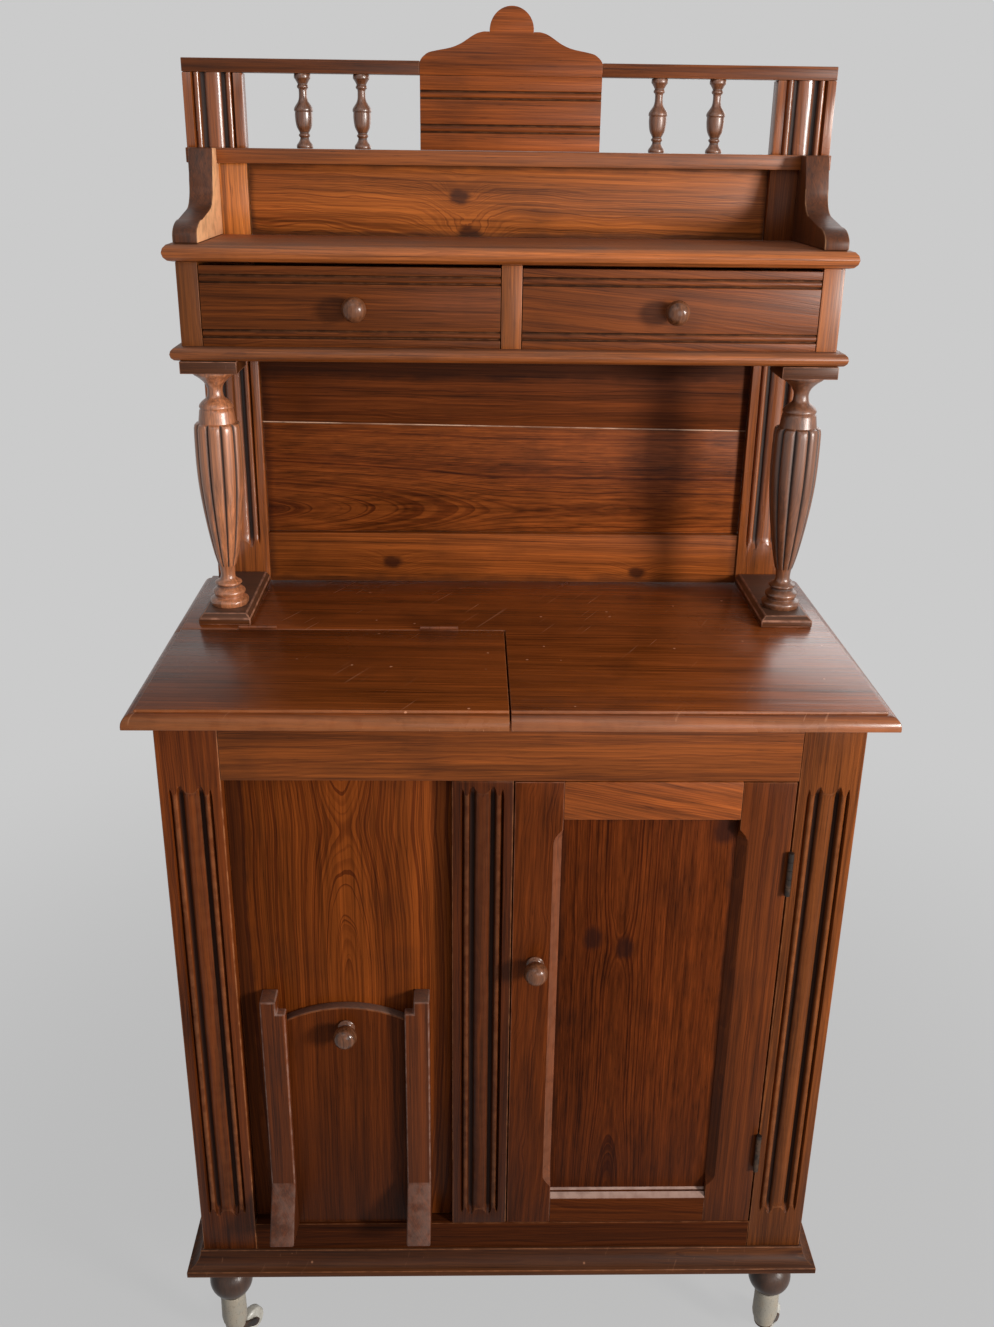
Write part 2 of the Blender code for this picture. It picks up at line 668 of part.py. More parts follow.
def feet():
    x = X_SIDE - FOOT_IN
    for row, y in (("front", Y_FACE + FOOT_IN), ("rear", Y_BACK - FOOT_BUN_R)):
        for side, across in (("left", -x), ("right", x)):
            foot(f"foot_{row}_{side}", across, y)
            caster(f"{row}_{side}", across, y, CASTER_TURN[row])


def hutch_sides():
    """Pads, reeded columns and the back stiles, the same left and right."""
    for side, label in ((-1, "left"), (1, "right")):
        x = side * X_COLUMN
        front = Y_PAD_FRONT
        back = Y_STILE - SEAT
        loops = []
        for inset, up in ((0, 0), (0, PAD_H - PAD_CHAMFER), (PAD_CHAMFER, PAD_H)):
            left, right = x - PAD_W / 2 + inset, x + PAD_W / 2 - inset
            z = Z_HUTCH + up
            y = front + inset
            loops.append([(left, y, z), (right, y, z), (right, back, z), (left, back, z)])
        piece(f"{label}_pad", loft(loops), PINE_DARK)
        column(f"{label}_column", x)
        left, right = sorted((side * X_STILE_IN, side * X_STILE))
        bm = block((left, Y_STILE, Z_HUTCH), (right, Y_BACK, Z_GALLERY_HEAD - SEAT))
        stile = piece(f"{label}_back_stile", bm, PINE)
        middle = (left + right) / 2
        alcove = reeding(middle, STILE_W, Y_STILE, Z_HUTCH + STILE_REED_START, Z_CASE + REED_RAMP)
        boolean(stile, "DIFFERENCE", "alcove_reeding", alcove)
        above = reeding(middle, STILE_W, Y_STILE, Z_GALLERY - REED_RAMP, Z_GALLERY_HEAD + REED_RAMP)
        boolean(stile, "DIFFERENCE", "gallery_reeding", above)


def column(name, x):
    """A column with a reeded vase between turned rings, under a square abacus."""
    low = Z_HUTCH + PAD_H + SEAT
    high = Z_CASE - SEAT - ABACUS_T
    base = [(0.78, 0), (0.81, 0.026), (0.63, 0.039), (0.68, 0.064), (0.46, 0.084), (0.56, 0.1), (0.35, 0.116)]
    base.append((0.32, 0.161))
    vase = [(0.39, 0.177), (0.53, 0.232), (0.68, 0.312), (0.8, 0.389), (0.9, 0.466), (0.97, 0.543), (1, 0.62)]
    vase += [(0.98, 0.698), (0.91, 0.785)]
    drum = [(0.78, 0.791), (0.78, 0.842), (0.71, 0.855), (0.61, 0.878), (0.41, 0.913), (0.4, 0.942)]
    drum += [(0.59, 0.968), (0.87, 0.987), (0.87, 1)]
    shares = ((0, 1), (0.18, 0.15), (0.5, 0), (0.82, 0.15))
    loops = []
    for points, groove in ((base, 0), (vase, LOBE_GROOVE), (drum, 0)):
        for width, up in points:
            z = low + up * (high - low)
            ring = []
            for lobe in range(LOBES):
                for part, depth in shares:
                    angle = 2 * math.pi * (lobe + part) / LOBES
                    r = COLUMN_R * width - groove * depth
                    ring.append((x + r * math.cos(angle), Y_COLUMN + r * math.sin(angle), z))
            loops.append(ring)
    shaft = piece(name, loft(loops), TURNED_WOOD, smooth=True)
    half = ABACUS_W / 2
    overlap = SEAT
    abacus = block((x - half, Y_COLUMN - half, high - overlap), (x + half, Y_COLUMN + half, Z_CASE - SEAT))
    boolean(shaft, "UNION", "abacus", abacus)


def hutch_back():
    """The boarded back between the stiles, with its foot rail and the rail that the gallery stands on."""
    reach = X_STILE_IN - SEAT
    front = Y_BACK - HUTCH_BACK_T
    rail_front = Y_STILE + BACK_RAIL_OUT
    outline = [(rail_front, Z_HUTCH), (Y_BACK, Z_HUTCH), (Y_BACK, Z_GALLERY), (front, Z_GALLERY)]
    outline += [(front, Z_HUTCH + BACK_RAIL_H), (rail_front, Z_HUTCH + BACK_RAIL_H)]
    back = piece("hutch_back", prism(outline, "X", -reach, reach), PINE)
    end = X_STILE
    fore = Y_STILE - GALLERY_RAIL_OUT
    behind = Y_STILE - SEAT
    rail = [(-end, fore), (end, fore), (end, behind), (reach, behind), (reach, Y_BACK), (-reach, Y_BACK)]
    rail += [(-reach, behind), (-end, behind)]
    boolean(back, "UNION", "gallery_rail", prism(rail, "Z", Z_GALLERY_RAIL, Z_GALLERY))


def nosed_board(name, low, high):
    """A case board with a round nosing on its front and both ends."""
    half = (high - low) / 2
    reach = X_CASE + CASE_OUT
    front = Y_CASE - CASE_OUT
    back = Y_STILE - SEAT
    loops = []
    for inset, up in arc((half, half), (half, half), 270, 90, 6):
        x, y, z = reach - inset, front + inset, low + up
        loops.append([(-x, y, z), (x, y, z), (x, back, z), (-x, back, z)])
    piece(name, loft(loops), PINE)


def drawer_case():
    nosed_board("case_bottom_board", Z_CASE, Z_CASE_FLOOR)
    nosed_board("case_top_board", Z_CASE_HEAD, Z_SHELF)
    low = Z_CASE_FLOOR + SEAT
    high = Z_CASE_HEAD - SEAT
    back = Y_STILE - SEAT
    edge = X_CASE
    inner = edge - CASE_END_T
    half = CASE_DIVIDER_T / 2
    piece("case_left_end", block((-edge, Y_CASE, low), (-inner, back, high)), PINE)
    piece("case_right_end", block((inner, Y_CASE, low), (edge, back, high)), PINE)
    piece("case_divider", block((-half, Y_CASE, low), (half, back, high)), PINE)
    drawer("left", -inner + DRAWER_SIDE_GAP, -half - DRAWER_SIDE_GAP)
    drawer("right", half + DRAWER_SIDE_GAP, inner - DRAWER_SIDE_GAP)


def drawer(label, left, right):
    """A drawer with beaded lines across its front, on a tray of thin boards."""
    low = Z_CASE_FLOOR + SEAT
    high = Z_CASE_HEAD - DRAWER_HEAD
    back = Y_STILE - DRAWER_BACK_GAP
    inside = Y_CASE + DRAWER_FRONT_T
    carrier = axis_empty(f"{label}_drawer_slide", ((left + right) / 2, Y_CASE, low))
    front = [(inside, low), (inside, high), (Y_CASE, high)]
    upper = high - BEAD_EDGE
    lower = low + BEAD_EDGE + BEAD_W
    for start in (upper, upper - 2 * BEAD_W, lower + 2 * BEAD_W, lower):
        front += [(Y_CASE, start), (Y_CASE + BEAD_D, start - BEAD_W / 2), (Y_CASE, start - BEAD_W)]
    front.append((Y_CASE, low))
    box = piece(f"{label}_drawer", prism(front, "X", left, right), PINE, carrier)
    rim = high - DRAWER_SIDE_DROP
    tray = block((left, inside - DRAWER_WALL, low), (right, back, rim))
    boolean(box, "UNION", "tray", tray)
    hollow_low = (left + DRAWER_WALL, inside, low + DRAWER_BOTTOM_T)
    hollow = block(hollow_low, (right - DRAWER_WALL, back - DRAWER_WALL, high + DRAWER_WALL))
    boolean(box, "DIFFERENCE", "hollow", hollow)
    middle = (left + right) / 2 + DRAWER_KNOB_OFF
    knob(f"{label}_drawer_knob", (middle, Y_CASE, (low + high) / 2), carrier)


def brackets():
    """Brackets with an S edge at both ends of the shelf, notched round the gallery's rail."""
    foot = Z_SHELF + SEAT
    front = Y_CASE - BRACKET_OVER
    back = Y_STILE - SEAT
    rail_face = Y_STILE - GALLERY_RAIL_OUT - SEAT
    rail_low = Z_GALLERY_RAIL - SEAT
    neck = rail_face - BRACKET_NECK_D
    nose_z = foot + BRACKET_TOE_H
    hollow_z = nose_z + BRACKET_NOSE_H + BRACKET_RISE + BRACKET_HOLLOW_H
    outline = [(back, foot), (front, foot)]
    outline += arc((front + BRACKET_NOSE_D, nose_z), (BRACKET_NOSE_D, BRACKET_NOSE_H), 180, 90, 6)
    outline += arc((neck - BRACKET_HOLLOW_D, hollow_z), (BRACKET_HOLLOW_D, BRACKET_HOLLOW_H), -75, 0, 6)
    outline += [(rail_face - BRACKET_TOP_D, Z_GALLERY), (rail_face, Z_GALLERY), (rail_face, rail_low)]
    outline.append((back, rail_low))
    piece("left_bracket", prism(outline, "X", -X_CASE, -X_CASE + BRACKET_T), PINE_DARK)
    piece("right_bracket", prism(outline, "X", X_CASE - BRACKET_T, X_CASE), PINE_DARK)


def crest_edge():
    """The right half of the crest's outline, from its end on the top rail to the top of its dome."""
    dome_z = Z_CREST + CREST_H - CREST_DOME_R
    shoulder = (CREST_SHOULDER_X, Z_CREST + CREST_SHOULDER_H)
    points = arc((CREST_HALF_W - CREST_LOBE_W, Z_CREST), (CREST_LOBE_W, CREST_LOBE_H), 0, 90, 4)
    points += ease(points[-1], shoulder, 6)
    points += [shoulder, (CREST_DOME_R, shoulder[1])]
    points += arc((0, dome_z), (CREST_DOME_R, CREST_DOME_R), 0, 90, 6)
    return points


def gallery():
    """The cresting board with its panel and top rail, and the balusters between the rails."""
    low = Z_GALLERY + SEAT
    right = [(CREST_HALF_W, low), (CREST_HALF_W, Z_GALLERY_HEAD)]
    right += [(X_STILE, Z_GALLERY_HEAD), (X_STILE, Z_CREST)] + crest_edge()
    outline = right + [(-x, z) for x, z in reversed(right[:-1])]
    front = Y_STILE
    board = piece("gallery_cresting", prism(outline, "Y", front, front + CREST_T), PINE)
    height = Z_GALLERY_HEAD - low
    reach = CREST_HALF_W + CREST_T
    for index, share in enumerate((0.23, 0.36, 0.69, 0.8)):
        z = low + height * share
        depth = front + CREST_GROOVE_D
        groove = [(front - CREST_T, z - CREST_GROOVE_W), (depth, z - CREST_GROOVE_W / 2)]
        groove += [(depth, z + CREST_GROOVE_W / 2), (front - CREST_T, z + CREST_GROOVE_W)]
        boolean(board, "DIFFERENCE", f"groove_{index + 1}", prism(groove, "X", -reach, reach))
    top = Z_GALLERY_HEAD - SEAT
    shape = [(0, 0), (0.82, 0), (0.82, 0.04), (0.5, 0.08), (0.62, 0.15), (0.38, 0.2), (0.47, 0.25)]
    shape += [(0.82, 0.35), (0.91, 0.49), (1, 0.52), (0.85, 0.57), (0.38, 0.67), (0.38, 0.8), (0.56, 0.84)]
    shape += [(0.44, 0.88), (0.82, 0.94), (0.82, 1), (0, 1)]
    profile = [(BALUSTER_R * radius, low + (top - low) * up) for radius, up in shape]
    step = (X_STILE_IN - CREST_HALF_W) / (BALUSTERS_A_SIDE + 1)
    places = [CREST_HALF_W + step * (i + 1) for i in range(BALUSTERS_A_SIDE)]
    for number, x in enumerate(sorted([-x for x in places] + places), 1):
        bm = turned(profile, (x, front + CREST_T / 2, 0), steps=SMALL_STEPS)
        piece(f"baluster_{number}", bm, TURNED_WOOD, smooth=True)


def main():
    clear_scene()
    base_frame()
    base_boards()
    bin_front_panel()
    plinth()
    worktop()
    bin_lid()
    cupboard_door()
    chute()
    feet()
    hutch_sides()
    hutch_back()
    drawer_case()
    brackets()
    gallery()


main()
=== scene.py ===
"""Looks of a pine kitchen dresser: finishes, turned and reeded pieces and worn boards on its CAD frame."""

import math
from functools import partial
from types import SimpleNamespace

import bpy
from bpy.props import FloatProperty, FloatVectorProperty, IntProperty, PointerProperty
from mathutils import Euler, Matrix, Vector
from mathutils.kdtree import KDTree


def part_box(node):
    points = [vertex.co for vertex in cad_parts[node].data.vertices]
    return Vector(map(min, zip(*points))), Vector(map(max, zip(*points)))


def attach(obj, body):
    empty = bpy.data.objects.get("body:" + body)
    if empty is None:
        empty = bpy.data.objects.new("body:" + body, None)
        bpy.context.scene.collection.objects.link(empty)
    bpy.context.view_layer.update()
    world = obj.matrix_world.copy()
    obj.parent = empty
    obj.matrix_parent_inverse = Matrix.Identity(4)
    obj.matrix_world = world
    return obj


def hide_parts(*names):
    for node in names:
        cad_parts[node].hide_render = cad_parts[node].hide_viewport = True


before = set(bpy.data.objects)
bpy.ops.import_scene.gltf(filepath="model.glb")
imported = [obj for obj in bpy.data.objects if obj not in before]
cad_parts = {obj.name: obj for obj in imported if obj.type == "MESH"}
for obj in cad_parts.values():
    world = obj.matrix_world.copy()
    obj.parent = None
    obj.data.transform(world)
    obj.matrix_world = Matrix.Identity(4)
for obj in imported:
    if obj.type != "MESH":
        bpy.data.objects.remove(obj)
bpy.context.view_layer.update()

bl_info = {
    "name": "Pine kitchen dresser",
    "version": (1, 0, 0),
    "blender": (4, 5, 0),
    "location": "View3D > Sidebar > Dresser",
    "description": "Dresses the CAD frame of a pine kitchen dresser with its finishes and fine shapes",
    "category": "Object",
}

PHOTO_HEIGHT = 1327
SENSOR = 36
CORNERS = ("front_left", "front_right", "rear_left", "rear_right")
SIDES = (("left", -1), ("right", 1))
SEAT, HAIRLINE = 0.0003, 0.0002
SLIVER = 1e-5
ARRIS_WIDTH, ARRIS_ANGLE = 0.0011, 28
ROUND_ARRIS, FINE_ARRIS, THIN_ARRIS, NOSE_ARRIS, SHARP_ARRIS = 0.0015, 0.0006, 0.0004, 0.0003, 0.0002
MOULDED_ANGLE, FLAT_ANGLE, CURVED_ANGLE, TURNED_ANGLE = 20, 32, 40, 50
LOBE_STEPS = 12
COLUMN_RADIUS, ABACUS_HEIGHT = 0.0303, 0.0153
FOOT_SPLIT, BUN_LEVEL, BUN_SQUASH = 0.0785, 0.0517, 0.97
DRAWER_FRONT, TRAY_WALL, TRAY_RIM, TRAY_BOTTOM = 0.018, 0.009, 0.012, 0.006
HUTCH_JOINT, FOOT_RAIL, BACK_BOARD = 1.256, 0.072, 0.014
FOOT_RAIL_SET_BACK, PUTTY_SET_BACK = 0.003, 0.0012
CREST_HALF, CREST_RISE, TOP_RAIL, PANEL_SET_BACK = 0.115, 0.063, 0.016, 0.0015
DOME_RADII, BEAD_LEVELS = (0.0275, 0.027), (0.745, 0.295)
HALF_LEAF, KNUCKLE_SEAM, KNUCKLE_EDGE = 0.0006, 0.0001, 0.0005


def properties(kind, **rows):
    """Properties of one kind from rows of a default and a description, each named after its key."""
    return {
        key: kind(name=key.replace("_", " ").capitalize(), default=value, description=words)
        for key, (value, words) in rows.items()
    }


class DresserSizes(bpy.types.PropertyGroup):
    """Fine sizes that the CAD frame leaves open"""

    __annotations__ = properties(
        partial(FloatProperty, unit="LENGTH", precision=5),
        arris=(0.0009, "Radius worn onto the edges of boards"),
        soft_arris=(0.002, "Radius worn onto edges that hands and feet rub"),
        post_arris=(0.0014, "Width of the worn arrises of pilasters and stiles"),
        joint=(0.0008, "Gap between neighbouring boards"),
        reed_flat=(0.011, "Plain margin beside the reeding"),
        reed_vee=(0.0034, "Width of the outer groove of the reeding"),
        reed_vee_depth=(0.006, "Depth of the outer groove"),
        reed_bead=(0.0062, "Width of the bead between the grooves"),
        reed_bead_drop=(0.0012, "How far the bead lies under the face"),
        reed_hollow=(0.006, "Width of the hollow beside the middle reed"),
        reed_hollow_depth=(0.008, "Depth of the hollow"),
        reed_crown_drop=(0.0022, "How far the middle reed lies under the face"),
        reed_ramp=(0.020, "Length over which a run of reeding ends"),
        reed_above=(0.006, "Plain length between the reeding and the top rail"),
        reed_below=(0.014, "Plain length between the reeding and the bottom rail"),
        stile_reed_foot=(0.050, "Plain length under the reeding of the hutch stiles"),
        door_stile=(0.058, "Width of the door's left stile"),
        door_hinge_stile=(0.063, "Width of the door's right stile"),
        door_top=(0.050, "Height of the door's top rail"),
        door_bottom=(0.0415, "Height of the door's bottom rail at its face"),
        door_chamfer=(0.011, "Width of the stopped chamfers on the door's stiles"),
        door_stop=(0.0605, "Plain length at both ends of a chamfered stile"),
        door_stop_ramp=(0.022, "Length over which a stopped chamfer ends"),
        door_sill=(0.0062, "Width of the chamfer on the door's bottom rail"),
        door_quirk=(0.0016, "Width of the groove behind that chamfer"),
        bead=(0.0037, "Radius of the beads on drawer fronts and gallery panel"),
        bead_quirk=(0.0022, "Width of the grooves beside a bead"),
        bead_edge=(0.0115, "Plain margin between a drawer front's edge and its bead"),
        rail_height=(0.018, "Height of the rail under the gallery"),
        rail_out=(0.010, "How far that rail stands in front of the stiles"),
        bracket_toe=(0.007, "Upright part at the foot of a bracket"),
        bracket_nose=(0.040, "Depth of the rounded nose of a bracket"),
        bracket_nose_height=(0.018, "Height of the rounded nose"),
        bracket_rise=(0.008, "Climb between nose and hollow"),
        bracket_hollow=(0.036, "Depth of the hollow of a bracket"),
        bracket_hollow_height=(0.032, "Height of the hollow"),
        bracket_neck=(0.037, "Depth of a bracket over its hollow"),
        bracket_top=(0.025, "Depth of a bracket at its top"),
        joint_fall=(0.004, "Drop of the hutch boards' joint from its middle to its right end"),
        knuckle=(0.012, "Length of one knuckle of a hinge"),
    )
    __annotations__ |= properties(
        partial(IntProperty, min=1),
        lobes=(10, "Reeds round the vase of a column"),
        back_boards=(6, "Boards in the back of the base"),
    )


class DresserColours(bpy.types.PropertyGroup):
    """Colours of the finishes"""

    __annotations__ = properties(
        partial(FloatVectorProperty, size=3, subtype="COLOR", min=0, max=1),
        pine_light=((0.31, 0.074, 0.013), "Pale part of a ring under varnish"),
        pine_dark=((0.085, 0.0135, 0.003), "Dark part of a ring under varnish"),
        raw_light=((0.52, 0.3, 0.15), "Pale part of a ring, unvarnished"),
        raw_dark=((0.3, 0.14, 0.055), "Dark part of a ring, unvarnished"),
        turned_light=((0.33, 0.122, 0.052), "Pale part of the turned pieces"),
        turned_dark=((0.12, 0.034, 0.014), "Dark part of the turned pieces"),
        # Dark colour for painted shade in grooves, hollows, along sunk borders and towards the floor, for
        # clouds of real dirt, and for dark specks in paint and iron.
        grime=((0.014, 0.006, 0.004), "Dirt in grooves and round handles"),
        knot=((0.024, 0.0065, 0.004), "Heart of a knot"),
        bare=((0.46, 0.175, 0.07), "Wood where varnish has worn off"),
        # Pale bare wood, which also paints the light on the left bracket's inner face.
        fresh=((0.97, 0.51, 0.25), "Pale inner face of a bracket"),
        # Also paints the light on the right-facing faces of the door's left stile.
        rubbed=((0.62, 0.28, 0.17), "Chamfer of the door where hands have worn it"),
        worn_white=((0.5, 0.33, 0.27), "Whitened varnish on a sill"),
        # A film on upward faces; on the gate's arched top it also stands for painted sheen of the light
        # falling on it.
        dust=((0.21, 0.145, 0.115), "Dull film on upward faces"),
        paint=((0.38, 0.345, 0.285), "Paint on the necks of the feet"),
        iron=((0.045, 0.034, 0.029), "Hinges and caster forks"),
        wheel=((0.62, 0.6, 0.54), "Caster wheels"),
        floor=((0.597, 0.597, 0.597), "Floor and backdrop"),
    )


class DresserStage(bpy.types.PropertyGroup):
    """Camera and light"""

    __annotations__ = properties(
        partial(FloatVectorProperty, size=3, subtype="TRANSLATION", unit="LENGTH"),
        camera_place=((-0.051, -1.5272, 1.6227), "Place of the camera"),
    )
    __annotations__ |= properties(
        partial(FloatProperty, unit="ROTATION"),
        camera_pitch=(math.radians(22.2374), "How far the camera looks down"),
        camera_yaw=(math.radians(1.3927), "How far the camera looks right"),
        camera_roll=(math.radians(-0.7501), "How far the camera leans"),
    )
    __annotations__ |= properties(
        partial(FloatProperty, unit="POWER"),
        key_power=(122, "Window light from the right"),
        panel_power=(14, "Wide soft light that the varnish mirrors"),
        fill_power=(8, "Soft light from above the camera"),
        rim_power=(16, "Light behind the hutch that the worktop mirrors"),
    )
    __annotations__ |= properties(
        FloatProperty,
        focal_pixels=(1272.776, "Focal length in pixels of the photo's height"),
        world_strength=(0.21, "Even light of the room"),
    )


def sizes():
    return bpy.context.scene.dresser_sizes


def colours():
    return bpy.context.scene.dresser_colours


# Node helpers


class Field:
    """A node's output. Arithmetic on it adds math nodes, part by part where one side is a vector."""

    def __init__(self, socket):
        self.socket = socket
        self.tree = socket.id_data
        self.wide = socket.type != "VALUE"

    def __add__(self, other):
        return combine("ADD", self, other)

    def __sub__(self, other):
        return combine("SUBTRACT", self, other)

    def __rsub__(self, other):
        return combine("SUBTRACT", other, self)

    def __mul__(self, other):
        return combine("MULTIPLY", self, other)

    def __truediv__(self, other):
        return combine("DIVIDE", self, other)

    __radd__ = __add__
    __rmul__ = __mul__


def feed(target, value):
    """Links a field to an input, or sets the input's own value."""
    if isinstance(value, Field):
        value.tree.links.new(value.socket, target)
    else:
        target.default_value = value


def node(kind, inputs=None, tree=None, **settings):
    """Adds a node beside its input fields, sets it up, and gives its outputs as fields by number and name."""
    inputs = inputs or {}
    tree = tree or next(value.tree for value in inputs.values() if isinstance(value, Field))
    made = tree.nodes.new(kind)
    for key, value in settings.items():
        setattr(made, key, value)
    for key, value in inputs.items():
        feed(made.inputs[key], value)
    fields = [Field(socket) for socket in made.outputs]
    return {**dict(enumerate(fields)), **{field.socket.name: field for field in fields}}


def combine(operation, *values):
    """A math node on fields and numbers, a vector one where any of them is a vector or colour."""
    if any(isinstance(value, tuple) or getattr(value, "wide", False) for value in values):
        values = [(value,) * 3 if isinstance(value, (int, float)) else value for value in values]
        made = node("ShaderNodeVectorMath", dict(enumerate(values)), operation=operation)
        return made["Value" if operation in ("LENGTH", "DOT_PRODUCT") else "Vector"]
    return node("ShaderNodeMath", dict(enumerate(values)), operation=operation)[0]


def parts(source):
    return node("ShaderNodeSeparateXYZ", {0: source})


def noise(source, detail=2.0, scale=1.0, out="Fac"):
    return node("ShaderNodeTexNoise", {"Vector": source, "Scale": scale, "Detail": detail})[out]


def ramp(value, low, high, start=0.0, end=1.0):
    """A smooth step of the value between low and high."""
    inputs = {"Value": value, "From Min": low, "From Max": high, "To Min": start, "To Max": end}
    return node("ShaderNodeMapRange", inputs, interpolation_type="SMOOTHSTEP")["Result"]


def mix(factor, first, second, blend="MIX"):
    return node("ShaderNodeMix", {0: factor, 6: first, 7: second}, data_type="RGBA", blend_type=blend)[2]


def opaque(colour):
    return (*colour, 1)


def node_group(name, vectors, tints, values, outputs):
    """Makes a function a shared group, built once: it gets the group's inputs and gives its outputs."""

    def shared(build):
        def place(inputs):
            tree = bpy.data.node_groups.get(name)
            if tree is None:
                tree = bpy.data.node_groups.new(name, "ShaderNodeTree")
                sockets = [(key, "INPUT", "NodeSocketVector") for key in vectors.split()]
                sockets += [(key, "INPUT", "NodeSocketColor") for key in tints.split()]
                sockets += [(key, "INPUT", "NodeSocketFloat") for key in values.split()]
                for key in outputs.split():
                    sockets.append((key, "OUTPUT", f"NodeSocket{'Color' if key == 'Color' else 'Float'}"))
                for key, way, kind in sockets:
                    tree.interface.new_socket(name=key, in_out=way, socket_type=kind)
                entry, result = tree.nodes.new("NodeGroupInput"), tree.nodes.new("NodeGroupOutput")
                given = {socket.name: Field(socket) for socket in entry.outputs if socket.name}
                for key, field in build(SimpleNamespace(**given)).items():
                    feed(result.inputs[key], field)
            return node("ShaderNodeGroup", inputs, node_tree=tree)

        return place

    return shared


GRAIN_VALUES = "Ring Wave Bow Sag Seed Late Streak Push"
WEAR_VALUES = "Edge Recess Dirt Specks Dusty"


@node_group("Pine grain", "Vector", "Light Dark", GRAIN_VALUES, "Color Late Fibre Blotch")
def grain_group(given):
    """Growth rings round a pith along Z that may bow away from the face, with fibre, streaks and blotches."""
    place = given.Vector + (3.1, 7.7, 1.9) * given.Seed
    slow = noise(place * (5, 5, 1.5), out="Color") - 0.5
    quick = noise(place * (34, 34, 11), out="Color") - 0.5
    bend = (slow + quick * 0.3) * given.Wave
    along = parts(given.Vector)["Z"]
    bow = (combine("SQRT", along * along + given.Sag * given.Sag) - given.Sag) * given.Bow
    bowed = given.Vector + node("ShaderNodeCombineXYZ", {1: bow})[0]
    radius = combine("LENGTH", (bowed + bend) * (1, 1, 0)) + given.Push
    uneven = node("ShaderNodeTexNoise", {"W": radius * 45 + given.Seed}, noise_dimensions="1D")["Fac"]
    phase = ((uneven - 0.5) * 0.016 + radius) / given.Ring
    saw = combine("FRACT", phase)
    year = node("ShaderNodeTexWhiteNoise", {"W": combine("FLOOR", phase)}, noise_dimensions="1D")["Value"]
    late = ramp(saw, 0.2, 0.88) * ramp(saw, 0.9, 1.0, 1.0, 0.0) * (year * 0.65 + 0.35)
    fibre = noise(place * (620, 620, 9), 3.0)
    thread = noise(place * (230, 230, 2.4), 3.0)
    fleck = ramp(noise(place * (900, 900, 34), 1.0), 0.64, 0.74)
    streak = noise(place * (42, 42, 1.2), 3.0)
    blotch = noise(place * (7, 7, 4), 3.0)
    tone = (fibre - 0.5) * 1.2 + 1.0 + (thread - 0.5) * 1.7 + (streak - 0.5) * given.Streak * 2.4
    tone = tone + (blotch - 0.5) * 0.7 + fleck * -0.32
    shade = node("ShaderNodeCombineColor", {0: tone, 1: tone, 2: tone})[0]
    ringed = mix(late * given.Late, given.Light, given.Dark)
    return {"Color": mix(1.0, ringed, shade, "MULTIPLY"), "Late": late, "Fibre": fibre, "Blotch": blotch}


@node_group("Knot", "Vector Centre", "", "Size", "Push Core")
def knot_group(given):
    """A knot: how far it pushes the rings aside, and the mask of its dark heart."""
    offset = given.Vector - given.Centre
    offset = offset + (noise(offset, 3.0, 60.0, "Color") - 0.5) * 0.009
    share = combine("LENGTH", offset * (1.0, 1.0, 0.7)) / given.Size
    fall = combine("POWER", 2.0, share * share * -0.3)
    return {"Push": fall * given.Size, "Core": ramp(share, 0.45, 1.15, 1.0, 0.0)}


@node_group("Wear", "Vector Normal Side", "Color Grime Bare Dust", WEAR_VALUES, "Color Rough")
def wear_and_shade_group(given):
    """Painted shade in hollows and towards the floor, clouds of dirt, a film with painted sheen on upward
    faces, rubbed arrises, faces paled on one side by wear and painted light, and specks over a wood's colour.
    """
    cloud = noise(given.Vector, 4.0, 11.0)
    fine = noise(given.Vector, 3.0, 70.0)
    # Painted shade: darker towards the floor, where the light falls off.
    low = ramp(parts(given.Vector)["Z"], 0.17, 0.6, 0.5, 0.0)
    # Painted shade in grooves and hollows, from the depth stored on the points.
    deep = ramp(given.Recess, 0.1, 0.8) * 0.93
    dark = combine("MAXIMUM", deep, combine("MAXIMUM", ramp(cloud, 0.5, 0.75) * given.Dirt, low))
    # Faces turned to the given side are paled: wear, and painted light on pieces lit from that side.
    turned_to = combine("DOT_PRODUCT", given.Normal, combine("NORMALIZE", given.Side))
    sided = ramp(turned_to, 0.25, 0.8) * combine("LENGTH", given.Side) * ramp(fine, 0.3, 0.6, 0.7, 1.0)
    rubbed = combine("MAXIMUM", given.Edge * ramp(fine, 0.35, 0.65, 0.3, 1.0), sided)
    speck = node("ShaderNodeTexVoronoi", {"Vector": given.Vector, "Scale": 42.0})
    chosen = node("ShaderNodeSeparateColor", {0: speck["Color"]})[0]
    dot = ramp(speck["Distance"], 0.04, 0.09, 1.0, 0.0) * ramp(chosen, 0.66, 0.7)
    turned = node("ShaderNodeMapping", {"Vector": given.Vector, "Rotation": (0.0, 0.0, 0.5)})[0]
    scratch = ramp(noise(turned * (260, 7, 60), 1.0), 0.69, 0.76, 0.0, 0.3) * ramp(cloud, 0.45, 0.6)
    marks = combine("MAXIMUM", dot, scratch) * given.Specks
    tint = mix(rubbed, mix(dark, given.Color, given.Grime), given.Bare)
    tint = mix(marks, tint, given.Bare * (1.5, 1.8, 2.4))
    # Upward faces take a dull film, which on the gate's top also paints the sheen of the light falling there.
    dusty = ramp(parts(given.Normal)["Z"], 0.45, 0.95) * given.Dusty * ramp(cloud, 0.3, 0.7, 0.55, 1.0)
    rough = combine("MAXIMUM", deep, dusty) * 0.5 + rubbed * 0.12 + marks * 0.15
    return {"Color": mix(dusty, tint, given.Dust), "Rough": rough}


